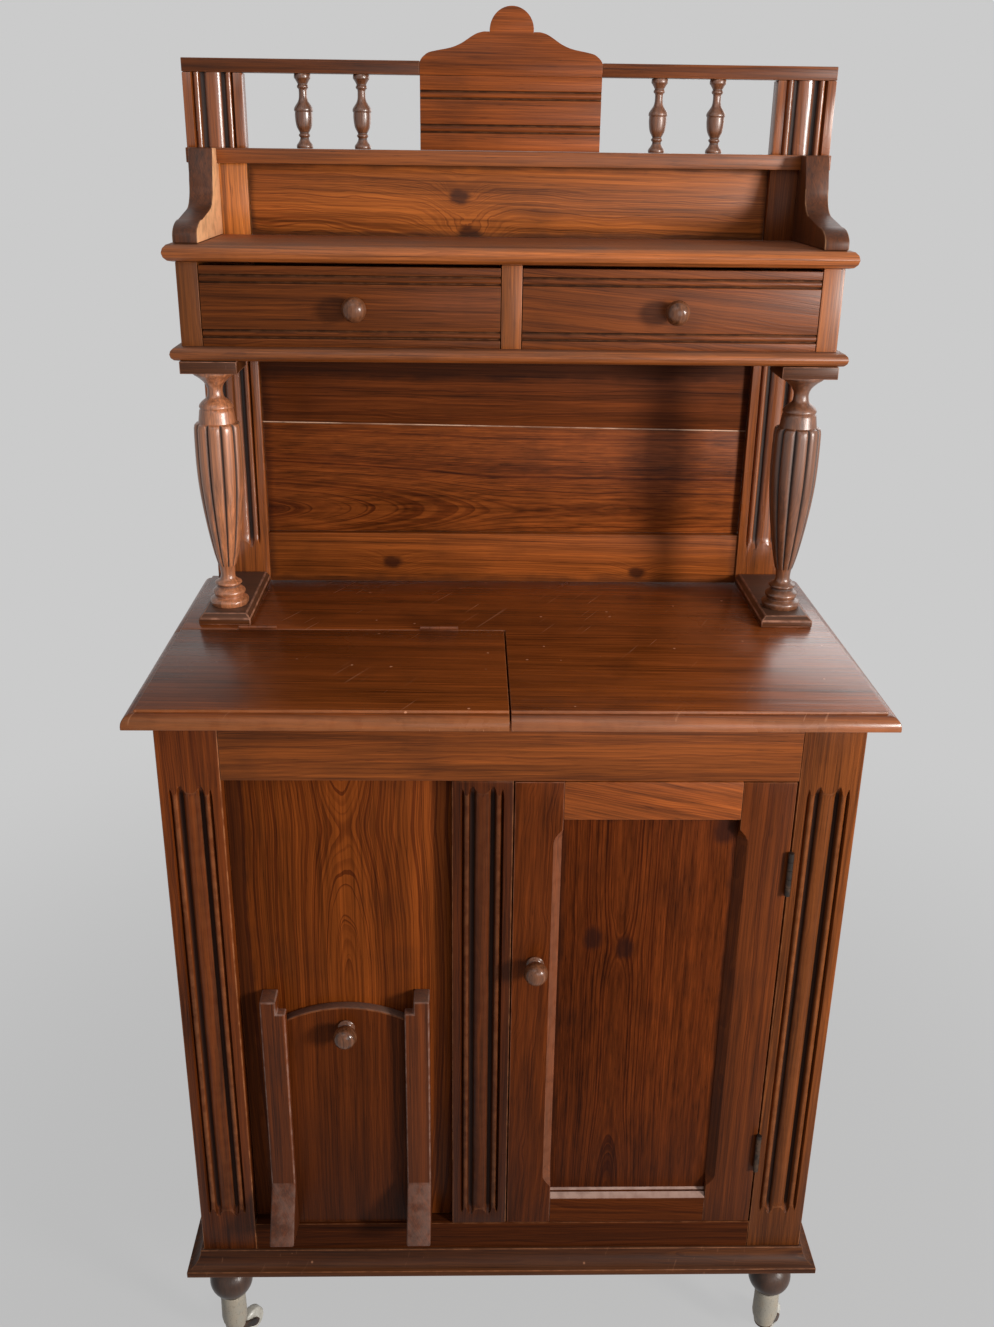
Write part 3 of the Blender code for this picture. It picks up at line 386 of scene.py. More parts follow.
@node_group("Border dirt", "Vector Low High", "", "Width", "Dirt")
def border_shade_group(given):
    """Painted shade along the border of a sunk board, between two corners of its visible face."""
    first, last = parts(given.Vector - given.Low), parts(given.High - given.Vector)
    across, upright = (combine("MINIMUM", first[axis], last[axis]) for axis in "XZ")
    away = combine("MINIMUM", across, upright) / given.Width
    away = (0.5 - noise(given.Vector, 3.0, 30.0)) * 0.9 + away
    return {"Dirt": ramp(away, 0.0, 1.0, 0.5, 0.0)}


GRAIN_TURN = {"X": (0, math.pi / 2, 0), "Y": (-math.pi / 2, 0, 0), "Z": (0, 0, 0)}
PITH = {"X": (0.0, 0.30, -0.21), "Y": (0.21, 0.0, -0.30), "Z": (0.21, 0.30, 0.0)}
SEED_STEP = 0.73


def new_material(name):
    made = bpy.data.materials.new(name)
    made.use_nodes = True
    return made, made.node_tree, made.node_tree.nodes["Principled BSDF"]


def wood(
    name, grain, pith, tilt=(0, 0), ring=0.0036, wave=0.02, bow=0.0, sag=0.06, shade=1.0, tint=(1, 1, 1),
    late=0.6, streak=0.5, light="pine_light", dark="pine_dark", knots=(), push=1.0, rough=0.38, gloss=0.16,
    dirt=0.25, specks=0.0, edge=0.25, dusty=0.0, side=(0, 0, 0), bare="bare", border=None, behind=1.0,
):
    """A varnished wood with rings round a pith line: along the grain, through a place, tilted a little."""
    if name in bpy.data.materials:
        return bpy.data.materials[name]
    made, tree, shader = new_material(name)
    # The number of materials so far shifts the pattern, so that no two woods look alike.
    seed = 1 + sum(not other.name.startswith("raw_pine_") for other in bpy.data.materials) * SEED_STEP
    turned = Euler(GRAIN_TURN[grain]).to_matrix() @ Euler((*tilt, 0)).to_matrix()
    source = node("ShaderNodeTexCoord", tree=tree)
    mapping = {"Vector": source["Object"], "Location": pith, "Rotation": turned.to_euler()}
    log = node("ShaderNodeMapping", mapping, vector_type="TEXTURE")["Vector"]
    inputs = {
        "Vector": log, "Ring": ring, "Wave": wave, "Bow": bow, "Sag": sag, "Seed": seed, "Late": late,
        "Streak": streak,
    }
    for key, tone in (("Light", light), ("Dark", dark)):
        inputs[key] = opaque(a * b * shade for a, b in zip(getattr(colours(), tone), tint))
    cores = []
    for centre, size in knots:
        inside = turned.inverted() @ (Vector(centre) - Vector(pith))
        found = knot_group({"Vector": log, "Centre": inside, "Size": size})
        inputs["Push"] = found["Push"] * push + inputs.get("Push", 0.0)
        cores.append(found["Core"])
    rings = grain_group(inputs)
    base = rings["Color"]
    for core in cores:
        base = mix(core * 0.8, base, opaque(colours().knot))
    # Painted light: faces turned to the front keep their colour, the others are darkened by behind.
    if behind < 1.0:
        lit_front = ramp(combine("DOT_PRODUCT", source["Normal"], (0, -1, 0)), 0.3, 0.8)
        base = mix(lit_front, base * behind, base)
    arris, recess = (
        node("ShaderNodeAttribute", tree=tree, attribute_name=key)["Fac"] for key in ("arris", "recess")
    )
    # Painted shade along the borders of a sunk board, joined to the painted shade of its grooves.
    if border:
        left, foot, right, head, width = border
        corners = {"Low": (left, 0, foot), "High": (right, 0, head), "Width": width}
        recess = combine("MAXIMUM", recess, border_shade_group({"Vector": source["Object"], **corners})["Dirt"])
    worn = wear_and_shade_group({
        "Vector": source["Object"], "Normal": source["Normal"], "Color": base, "Recess": recess,
        "Edge": arris * edge, "Dirt": dirt, "Specks": specks, "Dusty": dusty, "Side": side,
        "Grime": opaque(colours().grime), "Dust": opaque(colours().dust),
        "Bare": opaque(getattr(colours(), bare)),
    })
    feed(shader.inputs["Base Color"], worn["Color"])
    feed(shader.inputs["Roughness"], (rings["Blotch"] - 0.5) * 0.35 + rough + worn["Rough"])
    relief = {"Height": rings["Fibre"] * 0.6 + rings["Late"] * 0.5, "Strength": 0.3, "Distance": 0.0004}
    feed(shader.inputs["Normal"], node("ShaderNodeBump", relief)["Normal"])
    shader.inputs["Specular IOR Level"].default_value = gloss
    return made


def pine(name, grain, cad_node, shade=1.0, **more):
    """Straight-grained pine for a board in a CAD node's place, its pith far behind the board."""
    low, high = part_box(cad_node)
    pith = (low + high) / 2 + Vector(PITH[grain])
    return wood(name, grain, pith, shade=shade, **{"tilt": (0.015, 0.01), **more})


def plain(name, base, second, scale, rough, metallic=0.0, dark_spots=0.5, bump=0.2):
    """Paint, iron or glaze: two tones in clouds, dark specks and a fine relief."""
    made, tree, shader = new_material(name)
    place = node("ShaderNodeTexCoord", tree=tree)["Object"]
    fine = noise(place, 4.0, scale * 9)
    tint = mix(ramp(noise(place, 5.0, scale), 0.42, 0.62), opaque(base), opaque(second))
    tint = mix(ramp(fine, 0.58, 0.72) * dark_spots, tint, opaque(colours().grime))
    feed(shader.inputs["Base Color"], tint)
    feed(shader.inputs["Roughness"], fine * 0.3 + (rough - 0.15))
    relief = {"Height": fine, "Strength": bump, "Distance": 0.0005}
    feed(shader.inputs["Normal"], node("ShaderNodeBump", relief)["Normal"])
    shader.inputs["Metallic"].default_value = metallic
    return made


# Modelling helpers


def deselect():
    if bpy.context.mode != "OBJECT":
        leave()
    bpy.ops.object.select_all(action="DESELECT")


def pick(obj):
    """Makes the object the only selected one."""
    deselect()
    obj.select_set(True)
    bpy.context.view_layer.objects.active = obj


def edit():
    """Opens the active object in edit mode with all of it selected."""
    bpy.ops.object.mode_set(mode="EDIT")
    bpy.ops.mesh.select_all(action="SELECT")


def leave():
    bpy.ops.object.mode_set(mode="OBJECT")


def named(name):
    """Gives the active object and its mesh a name."""
    obj = bpy.context.object
    obj.name = obj.data.name = name
    return obj


def start(name):
    """A new mesh of one vertex at the origin, open in edit mode."""
    deselect()
    bpy.ops.mesh.primitive_plane_add(size=0.01)
    obj = named(name)
    edit()
    bpy.ops.mesh.merge(type="CENTER")
    return obj


def draw(points):
    """Moves the one vertex to the first point and extrudes it through the others."""
    points = [Vector(point) for point in points]
    bpy.ops.transform.translate(value=points[0])
    for before, after in zip(points, points[1:]):
        bpy.ops.mesh.extrude_vertices_move(TRANSFORM_OT_translate={"value": after - before})


def fill(points):
    """Draws a closed outline and fills it."""
    draw(points + points[:1])
    bpy.ops.mesh.select_all(action="SELECT")
    bpy.ops.mesh.remove_doubles(threshold=1e-7)
    bpy.ops.mesh.edge_face_add()


def pull(*step):
    bpy.ops.mesh.extrude_region_move(TRANSFORM_OT_translate={"value": step})


def close():
    """Merges doubles, turns the faces outwards and leaves edit mode."""
    bpy.ops.mesh.select_all(action="SELECT")
    bpy.ops.mesh.remove_doubles(threshold=1e-6)
    bpy.ops.mesh.normals_make_consistent(inside=False)
    leave()


def soften(obj, width, segments=2):
    """Rounds the sharp edges."""
    pick(obj)
    bevel = obj.modifiers.new("Arris", "BEVEL")
    bevel.width = width
    bevel.segments = segments
    bevel.limit_method = "ANGLE"
    bevel.angle_limit = math.radians(ARRIS_ANGLE)
    bevel.material = -1
    bpy.ops.object.modifier_apply(modifier=bevel.name)
    return obj


def board(name, low, high, arris=None):
    """A board between two corners, with worn arrises."""
    deselect()
    bpy.ops.mesh.primitive_cube_add(size=1)
    obj = named(name)
    low, high = Vector(low), Vector(high)
    edit()
    bpy.ops.transform.resize(value=high - low, center_override=(0, 0, 0))
    bpy.ops.transform.translate(value=(low + high) / 2)
    bpy.ops.mesh.bevel(offset=arris or sizes().arris, segments=2, affect="EDGES")
    leave()
    return obj


def prism(name, outline, axis, low, high, arris=None):
    """A prism of a closed outline across the axis, X (y, z), Y (x, z) or Z (x, y), with worn arrises."""
    slot = "XYZ".index(axis)
    step = Vector()
    step[slot] = high - low
    obj = start(name)
    fill([(*point[:slot], low, *point[slot:]) for point in outline])
    pull(*step)
    close()
    return soften(obj, arris or sizes().arris)


def hollows(profile, reach):
    """How deep each (radius, height) point of a profile lies under its neighbours, from 0 to 1."""
    found = []
    for radius, height in profile:
        below = max(other for other, level in profile if 0 <= height - level <= reach)
        above = max(other for other, level in profile if 0 <= level - height <= reach)
        crest = min(below, above)
        found.append(min(1.0, 2.6 * (crest - radius) / max(crest, 1e-6)))
    return found


def scaled(profile, radius, height):
    return [(r * radius, h * height) for r, h in profile]


def turn(name, profile, place=(0, 0, 0), direction=(0, 0, 1), steps=48, reach=0.006):
    """A piece turned from (radius, height) points about a line, its hollows marked as recesses."""
    place, direction = Vector(place), Vector(direction)
    side = direction.orthogonal().normalized()
    obj = start(name)
    draw([place + direction * height + side * radius for radius, height in profile])
    bpy.ops.mesh.select_all(action="SELECT")
    bpy.ops.mesh.spin(steps=steps, angle=2 * math.pi, center=place, axis=direction)
    close()
    near = KDTree(len(profile))
    for i, (radius, height) in enumerate(profile):
        near.insert((radius, height, 0), i)
    near.balance()
    depths = hollows(profile, reach)

    def depth(point):
        height = (point - place).dot(direction)
        radius = (point - place - direction * height).length
        return depths[near.find((radius, height, 0))[1]]

    mark_recess(obj, depth)
    return obj


def dressed(name, cad_node, arris=None, segments=2):
    """A copy of a CAD node's shape with its doubles merged, its flat faces joined and its arrises rounded."""
    obj = bpy.data.objects.new(name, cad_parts[cad_node].data.copy())
    bpy.context.scene.collection.objects.link(obj)
    pick(obj)
    named(name)
    edit()
    bpy.ops.mesh.remove_doubles(threshold=1e-5)
    bpy.ops.mesh.dissolve_limited(angle_limit=math.radians(0.6))
    leave()
    return soften(obj, arris or sizes().arris, segments)


def joined(name, pieces):
    """One piece from several."""
    pick(pieces[0])
    for obj in pieces:
        obj.select_set(True)
    bpy.ops.object.join()
    return named(name)


def mark_arrises(obj):
    """Stores on each face whether it is a narrow one along an arris, for wear."""
    points = [vert.co for vert in obj.data.vertices]
    layer = obj.data.attributes.new("arris", "FLOAT", "FACE")
    for face in obj.data.polygons:
        around = sum((points[a] - points[b]).length for a, b in face.edge_keys)
        layer.data[face.index].value = float(2 * face.area < around * ARRIS_WIDTH)


def mark_recess(obj, depth):
    """Stores on each point how deep it lies in a groove, from 0 to 1, for painted shade and rougher varnish
    there.
    """
    layer = obj.data.attributes.new("recess", "FLOAT", "POINT")
    for vert in obj.data.vertices:
        layer.data[vert.index].value = depth(vert.co)


def done(obj, material, *nodes, body="cabinet", slot="pine", angle=FLAT_ANGLE):
    """Finishes a piece: its material, shading and body, and the nodes that it stands for; the slot is not
    used.
    """
    pick(obj)
    edit()
    bpy.ops.mesh.dissolve_degenerate(threshold=SLIVER)
    leave()
    obj.data.materials.clear()
    obj.data.materials.append(material)
    bpy.ops.object.shade_smooth_by_angle(angle=math.radians(angle))
    mark_arrises(obj)
    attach(obj, body)
    if nodes:
        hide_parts(*nodes)
    return obj


def boxed(name, cad_node, material, body="cabinet"):
    """A board in a CAD node's place."""
    return done(board(name, *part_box(cad_node)), material, cad_node, body=body)


def spread(model, material, places):
    """Copies a turned model to the place of each CAD node, a (body, place) by node, and removes it."""
    for cad_node, (body, place) in places.items():
        pick(model)
        bpy.ops.object.duplicate()
        made = named(f"{cad_node}_turned")
        edit()
        bpy.ops.transform.translate(value=place)
        leave()
        done(made, material, cad_node, body=body, slot="turned_wood", angle=TURNED_ANGLE)
    bpy.data.objects.remove(model)


def curve(points, steps=3):
    """Points of a smooth curve through the given ones."""
    found = []
    ends = [points[0], *points, points[-1]]
    for around in zip(ends, ends[1:], ends[2:], ends[3:]):
        for i in range(steps):
            t = i / steps
            point = []
            for a, b, c, d in zip(*around):
                bend, twist = 2 * a - 5 * b + 4 * c - d, 3 * b - a - 3 * c + d
                point.append(0.5 * (2 * b + (c - a) * t + bend * t * t + twist * t ** 3))
            found.append(tuple(point))
    return [*found, tuple(points[-1])]


def arc(centre, radii, first, last, steps):
    """Points on an elliptic arc between two angles in degrees."""
    found = []
    for i in range(steps + 1):
        angle = math.radians(first + (last - first) * i / steps)
        found.append((centre[0] + radii[0] * math.cos(angle), centre[1] + radii[1] * math.sin(angle)))
    return found


# Finishes


def raw_pine(grain="X"):
    name = "raw_pine" if grain == "X" else f"raw_pine_{grain.lower()}"
    tones = {"light": "raw_light", "dark": "raw_dark"}
    return wood(name, grain, (0.0, 0.9, 0.7), ring=0.005, rough=0.6, edge=0.0, **tones)


def dark_pine():
    return wood(
        "worn_dark_pine", "Z", (0.8, 0.9, 0.5), shade=0.46, tint=(1, 0.95, 1.05), late=0.45, rough=0.42,
        gloss=0.2, edge=0.3, dusty=0.35, bare="worn_white",
    )


def dark_rail():
    return wood(
        "dark_rail", "X", (0.0, 0.7, 0.9), shade=0.3, tint=(1, 1.2, 1.6), late=0.4, gloss=0.34, edge=0.6,
        bare="rubbed", specks=0.2, dusty=0.25,
    )


def turned_wood(name, shade, gloss, rough):
    return wood(
        name, "Z", (0.7, 0.6, 0.4), shade=shade, light="turned_light", dark="turned_dark", late=0.45,
        dirt=0.15, edge=0.0, rough=rough, gloss=gloss,
    )


# Pieces


def reed_section(width):
    """(across, depth) points of the reeding's section, from its right edge to its left."""
    s = sizes()
    half = width / 2 - s.reed_flat
    bead_foot = (s.reed_vee_depth + s.reed_bead_drop) / 2
    bead_mid = half - s.reed_vee - s.reed_bead / 2
    crown = half - s.reed_vee - s.reed_bead - s.reed_hollow
    points = [(half, 0), (half - s.reed_vee / 2, s.reed_vee_depth), (half - s.reed_vee, bead_foot)]
    points += arc((bead_mid, bead_foot), (s.reed_bead / 2, bead_foot - s.reed_bead_drop), 0, -180, 10)[1:]
    points += [(crown + s.reed_hollow * 0.6, s.reed_hollow_depth), (crown, s.reed_hollow_depth)]
    rise = s.reed_hollow_depth - s.reed_crown_drop
    middle = arc((0, s.reed_hollow_depth), (crown, rise), 0, -180, 20)[1:-1]
    return points + middle + [(-across, depth) for across, depth in reversed(points)]


def cut_run(obj, outline, out, low, high, ramp_length):
    """Cuts a run of an (x, y) outline between two levels, which slides out of the wood at both ends."""
    steps = 5
    cutter = start("run_cutter")
    fill([(x + out[0], y + out[1], low) for x, y in outline])
    shares = [math.sin(math.pi / 2 * i / steps) for i in range(steps + 1)]
    parts_out = [after - before for before, after in zip(shares, shares[1:])]
    for part in parts_out:
        pull(-out[0] * part, -out[1] * part, ramp_length / steps)
    pull(0, 0, high - low - 2 * ramp_length)
    for part in reversed(parts_out):
        pull(out[0] * part, out[1] * part, ramp_length / steps)
    close()
    pick(obj)
    cut = obj.modifiers.new("Run", "BOOLEAN")
    cut.object = cutter
    cut.solver = "EXACT"
    bpy.ops.object.modifier_apply(modifier=cut.name)
    bpy.data.objects.remove(cutter)


def reeded(name, low, high, run, material, *nodes):
    """A post between two corners with a run of reeding cut down its face, less worn on its crown."""
    s = sizes()
    post = board(name, low, high, s.post_arris)
    out = s.reed_hollow_depth + s.joint
    middle, face = (low[0] + high[0]) / 2, low[1]
    section = [(middle + across, face + depth) for across, depth in reed_section(high[0] - low[0])]
    outline = [(section[0][0], face - out), *section, (section[-1][0], face - out)]
    cut_run(post, outline, (0, -out), *run, s.reed_ramp)
    half = section[0][0] - middle + 1e-4

    def depth(point):
        inside = abs(point.x - middle) < half and point.y - face < out
        return (max(0.0, point.y - face) / s.reed_hollow_depth) ** 2.5 if inside else 0.0

    mark_recess(post, depth)
    done(post, material, *nodes)
    layer = post.data.attributes["arris"].data
    for part in post.data.polygons:
        away = abs(part.center.x - middle)
        if away < half * 0.4 and depth(part.center) > 0.01:
            layer[part.index].value = 0.12
        elif away < half:
            layer[part.index].value = min(layer[part.index].value, 0.45)


class DRESSER_OT_pilasters(bpy.types.Operator):
    """Reeded pilasters of the base and reeded stiles of the hutch"""

    bl_idname = "dresser.pilasters"
    bl_label = "Pilasters and stiles"

    def execute(self, context):
        s = sizes()
        run = (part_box("base_bottom_rail")[1].z + s.reed_below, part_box("base_top_rail")[0].z - s.reed_above)
        # The left pilaster's stronger arris wear also paints the highlight of the light from the right along
        # its arrises.
        looks = {
            "left": {"shade": 0.52, "edge": 0.6, "tint": (1, 0.92, 0.88)},
            "middle": {"shade": 0.27, "edge": 0.35, "tint": (1, 0.9, 0.9)},
            "right": {"shade": 0.62, "edge": 0.4, "tint": (1, 1.12, 1.3)},
        }
        for side, look in looks.items():
            post = f"{side}_pilaster"
            finish = pine(f"{post}_pine", "Z", post, gloss=0.14, rough=0.3, **look)
            reeded(f"{side}_reeded_pilaster", *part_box(post), run, finish, post)
        case_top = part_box("case_top_board")
        first_joint = (case_top[0].z + case_top[1].z) / 2
        second_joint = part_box("hutch_back")[1].z - s.rail_height / 2
        # Painted light and shade on the stiles between the shelves: the left one is made bright on its front
        # as if lit from the right, the right one dark as if in the bracket's shadow.
        looks = {
            "left": {"shade": 2.0, "tint": (1, 1.35, 1.5), "gloss": 0.6, "rough": 0.3, "behind": 0.45},
            "right": {"shade": 0.62, "tint": (1, 1.05, 1.1)},
        }
        for side, look in looks.items():
            stile = f"{side}_back_stile"
            low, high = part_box(stile)
            finish = pine(f"{stile}_pine", "Z", stile, 0.9, gloss=0.75, rough=0.26, tint=(1, 1.1, 1.2))
            shelf_light_and_shade_finish = pine(f"{stile}_shelf_pine", "Z", stile, **look)
            run = (low.z + s.stile_reed_foot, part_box("case_bottom_board")[0].z + s.reed_ramp)
            reeded(f"{side}_stile_foot", low, (high.x, high.y, first_joint), run, finish, stile)
            corners = (low.x, low.y, first_joint), (high.x, high.y, second_joint)
            done(board(f"{side}_stile_shelf_part", *corners), shelf_light_and_shade_finish)
            run = (second_joint - s.reed_ramp, high.z + s.reed_ramp)
            reeded(f"{side}_stile_head", (low.x, low.y, second_joint), high, run, finish)
        return {"FINISHED"}


class DRESSER_OT_base(bpy.types.Operator):
    """Boards of the base: rails, sides, back, floor, partition, bin panel and plinth"""

    bl_idname = "dresser.base"
    bl_label = "Base boards"

    def execute(self, context):
        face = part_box("bin_front_panel")[0].y
        panel = wood(
            "bin_panel_pine", "Z", (-0.197, face + 0.034, 0.86), bow=0.17, sag=0.012, ring=0.0064, shade=0.6,
            late=0.85, tint=(1, 0.93, 0.75), gloss=0.06, border=(-0.325, 0.2, -0.062, 0.948, 0.016),
        )
        # The bottom rail's much darker shade is painted shade towards the floor.
        looks = {
            "top": {"shade": 0.75, "tint": (1, 1.06, 1.1), "gloss": 0.18},
            "bottom": {"shade": 0.31, "tint": (1, 0.9, 0.8), "gloss": 0.04},
        }
        for end, look in looks.items():
            rail = f"base_{end}_rail"
            boxed(f"{end}_rail", rail, pine(f"{end}_rail_pine", "X", rail, **look))
        for side, _ in SIDES:
            boxed(f"{side}_side_board", f"{side}_side", pine(f"{side}_side_pine", "Z", f"{side}_side", 0.7))
        boxed("floor_board", "base_floor", raw_pine())
        boxed("partition_board", "bin_partition", raw_pine("Z"))
        done(dressed("bin_panel", "bin_front_panel"), panel, "bin_front_panel")
        plinth = pine(
            "plinth_pine", "X", "plinth_moulding", 0.47, tint=(1, 1.2, 1.5), gloss=0.14, edge=0.35,
            specks=0.35, dusty=0.08,
        )
        done(dressed("plinth", "plinth_moulding"), plinth, "plinth_moulding", slot="dark_pine")
        low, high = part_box("base_back")
        count, joint = sizes().back_boards, sizes().joint
        step = (high.x - low.x + joint) / count
        boards = []
        for i in range(count):
            left = low.x + step * i
            right = left + step - joint
            boards.append(board(f"back_board_{i}", (left, low.y, low.z), (right, high.y, high.z)))
        done(joined("base_back_boards", boards), pine("base_back_pine", "Z", "base_back", 0.7), "base_back")
        return {"FINISHED"}


class DRESSER_OT_worktop(bpy.types.Operator):
    """Worktop and the lid of the bin, with moulded edges"""

    bl_idname = "dresser.worktop"
    bl_label = "Worktop"

    def execute(self, context):
        finish = partial(
            pine, grain="X", tilt=(0.03, 0.02), tint=(1, 0.98, 0.95), late=0.45, dirt=0.3, specks=0.95,
            edge=0.35, side=(0, -0.4, 0),
        )
        top = finish("top_pine", cad_node="worktop", shade=0.86, rough=0.25, gloss=0.56)
        lid = finish("lid_pine", cad_node="bin_lid", shade=0.7, rough=0.27, gloss=0.22)
        done(dressed("worktop_board", "worktop"), top, "worktop", slot="dark_pine")
        done(dressed("lid_board", "bin_lid"), lid, "bin_lid", body="bin_lid", slot="dark_pine")
        return {"FINISHED"}


def chamfered(name, low, high, edge, side, material, *nodes):
    """A door stile between two corners with a stopped chamfer on its inner arris, at x = edge."""
    s = sizes()
    stile = board(name, low, high)
    face, cut, over = low[1], s.door_chamfer, 0.002
    outline = [(edge - side * (cut + over), face - over), (edge + side * over, face + cut + over)]
    outline.append((edge + side * over, face - over))
    slide = cut * 0.6
    run = (low[2] + s.door_stop, high[2] - s.door_stop)
    cut_run(stile, outline, (side * slide, -slide), *run, s.door_stop_ramp)
    done(stile, material, *nodes, body="door")


class DRESSER_OT_door(bpy.types.Operator):
    """Cupboard door: stiles with stopped chamfers, rails and a panel"""

    bl_idname = "dresser.door"
    bl_label = "Cupboard door"

    def execute(self, context):
        s = sizes()
        low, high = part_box("door_frame")
        panel_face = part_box("door_panel")[0].y
        gap = s.joint / 4
        left_end, right_end = low.x + s.door_stile, high.x - s.door_hinge_stile
        # The left stile's faces turned to the right, its chamfer among them, are paled with the rubbed colour:
        # wear and painted light from the right.
        left_pine = pine(
            "door_left_stile_pine", "Z", "left_pilaster", 0.41, gloss=0.08, tint=(1, 0.88, 0.85),
            tilt=(0.03, 0.03), wave=0.04, side=(0.18, 0, 0), bare="rubbed",
        )
        right_pine = pine(
            "door_right_stile_pine", "Z", "right_pilaster", 0.42, tint=(1, 0.94, 0.95), gloss=0.12
        )
        chamfered("door_left_stile", low, (left_end, high.y, high.z), left_end, 1, left_pine, "door_frame")
        chamfered("door_right_stile", (right_end, low.y, low.z), high, right_end, -1, right_pine)
        top_pine = wood(
            "door_rail_pine", "X", (0.1, -0.02, 0.72), tilt=(0.02, 0.22), ring=0.006, wave=0.03, shade=1.08,
            gloss=0.22,
        )
        head = high.z - s.door_top
        rail = board("door_top_rail", (left_end + gap, low.y, head), (right_end - gap, high.y, high.z))
        done(rail, top_pine, body="door")
        foot = low.z + s.door_bottom
        sill, quirk, crest = low.y + s.door_sill, s.door_quirk, foot + s.door_sill
        back, lip, tongue = sill + quirk, crest + 0.0015, crest + 0.0035
        outline = [(high.y, low.z), (low.y, low.z), (low.y, foot), (sill, crest)]
        outline += [(sill + quirk / 4, crest - 1.5 * quirk), (back, crest - 1.5 * quirk)]
        outline += [(back, lip), (panel_face, tongue), (high.y, tongue)]
        rail = prism("door_bottom_rail", outline, "X", left_end + gap, right_end - gap, THIN_ARRIS)
        mark_recess(rail, lambda point: float(sill < point.y < sill + quirk * 0.95 and point.z > foot))
        bottom_pine = pine(
            "door_bottom_rail_pine", "X", "door_frame", 0.43, gloss=0.04, tint=(1, 0.92, 0.85), edge=0.2,
            side=(0, 0, 0.8), bare="worn_white",
        )
        done(rail, bottom_pine, body="door", angle=MOULDED_ANGLE)
        knot_y = -0.1927
        knots = ((0.1054, 0.7084, 0.014), (0.1461, 0.6936, 0.013), (0.258, 0.862, 0.016))
        panel = wood(
            "door_panel_pine", "Z", (0.139, panel_face + 0.02, 0.43), tilt=(-0.06, 0), bow=0.06, sag=0.03,
            ring=0.0044, wave=0.006, shade=0.4, tint=(1, 0.85, 0.82), gloss=0.05, late=0.85, push=0.25,
            border=(left_end, foot, right_end, head, 0.014),
            knots=[((x, knot_y, z), size) for x, z, size in knots],
        )
        boxed("door_inner_panel", "door_panel", panel, body="door")
        return {"FINISHED"}


class DRESSER_OT_chute(bpy.types.Operator):
    """Chute of the bin: cheeks with worn edges and the sliding gate"""

    bl_idname = "dresser.chute"
    bl_label = "Chute and gate"

    def execute(self, context):
        rubbed = sizes().soft_arris
        for side, _ in SIDES:
            cad_node = f"chute_{side}_cheek"
            made = dressed(f"{side}_cheek", cad_node, rubbed, 3)
            done(made, dark_pine(), cad_node, slot="dark_pine")
            low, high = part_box(cad_node)
            # The lower front faces of the cheeks are paled as arrises: wear, and painted sheen where the flare
            # turns up to the light.
            toe = low.z + 0.25 * (high.z - low.z)
            for part in made.data.polygons:
                if part.center.z < toe and part.normal.y < -0.3:
                    made.data.attributes["arris"].data[part.index].value = 0.5
        # The gate's film on upward faces also paints the sheen on its lit top edge.
        look = {"shade": 0.35, "tint": (1, 0.9, 0.85), "gloss": 0.07, "edge": 0.3, "dusty": 0.6}
        gate = pine("gate_pine", "Z", "chute_gate", **look)
        done(dressed("gate_board", "chute_gate", rubbed, 3), gate, "chute_gate", body="chute_gate")
        return {"FINISHED"}


class DRESSER_OT_knobs(bpy.types.Operator):
    """Turned knobs of the drawers, the door and the gate"""

    bl_idname = "dresser.knobs"
    bl_label = "Knobs"

    def execute(self, context):
        low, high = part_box("door_knob")
        neck = [(0.74, 0.03), (0.72, 0.07), (0.5, 0.13), (0.43, 0.2), (0.46, 0.27), (0.66, 0.33), (0.9, 0.43)]
        ball = [(1.0, 0.58), (0.97, 0.72), (0.8, 0.87), (0.5, 0.965), (0.2, 0.995), (0, 1.0)]
        profile = scaled([(0, 0), (0.7, 0), *curve(neck + ball)], (high.x - low.x) / 2, high.y - low.y)
        model = turn("knob_model", profile, direction=(0, -1, 0), steps=40)
        places = {}
        for body in ("left_drawer", "right_drawer", "door", "chute_gate"):
            low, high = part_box(f"{body}_knob")
            middle = (low + high) / 2
            places[f"{body}_knob"] = body, (middle.x, high.y, middle.z)
        spread(model, turned_wood("knob_wood", 0.52, 0.45, 0.22), places)
        return {"FINISHED"}


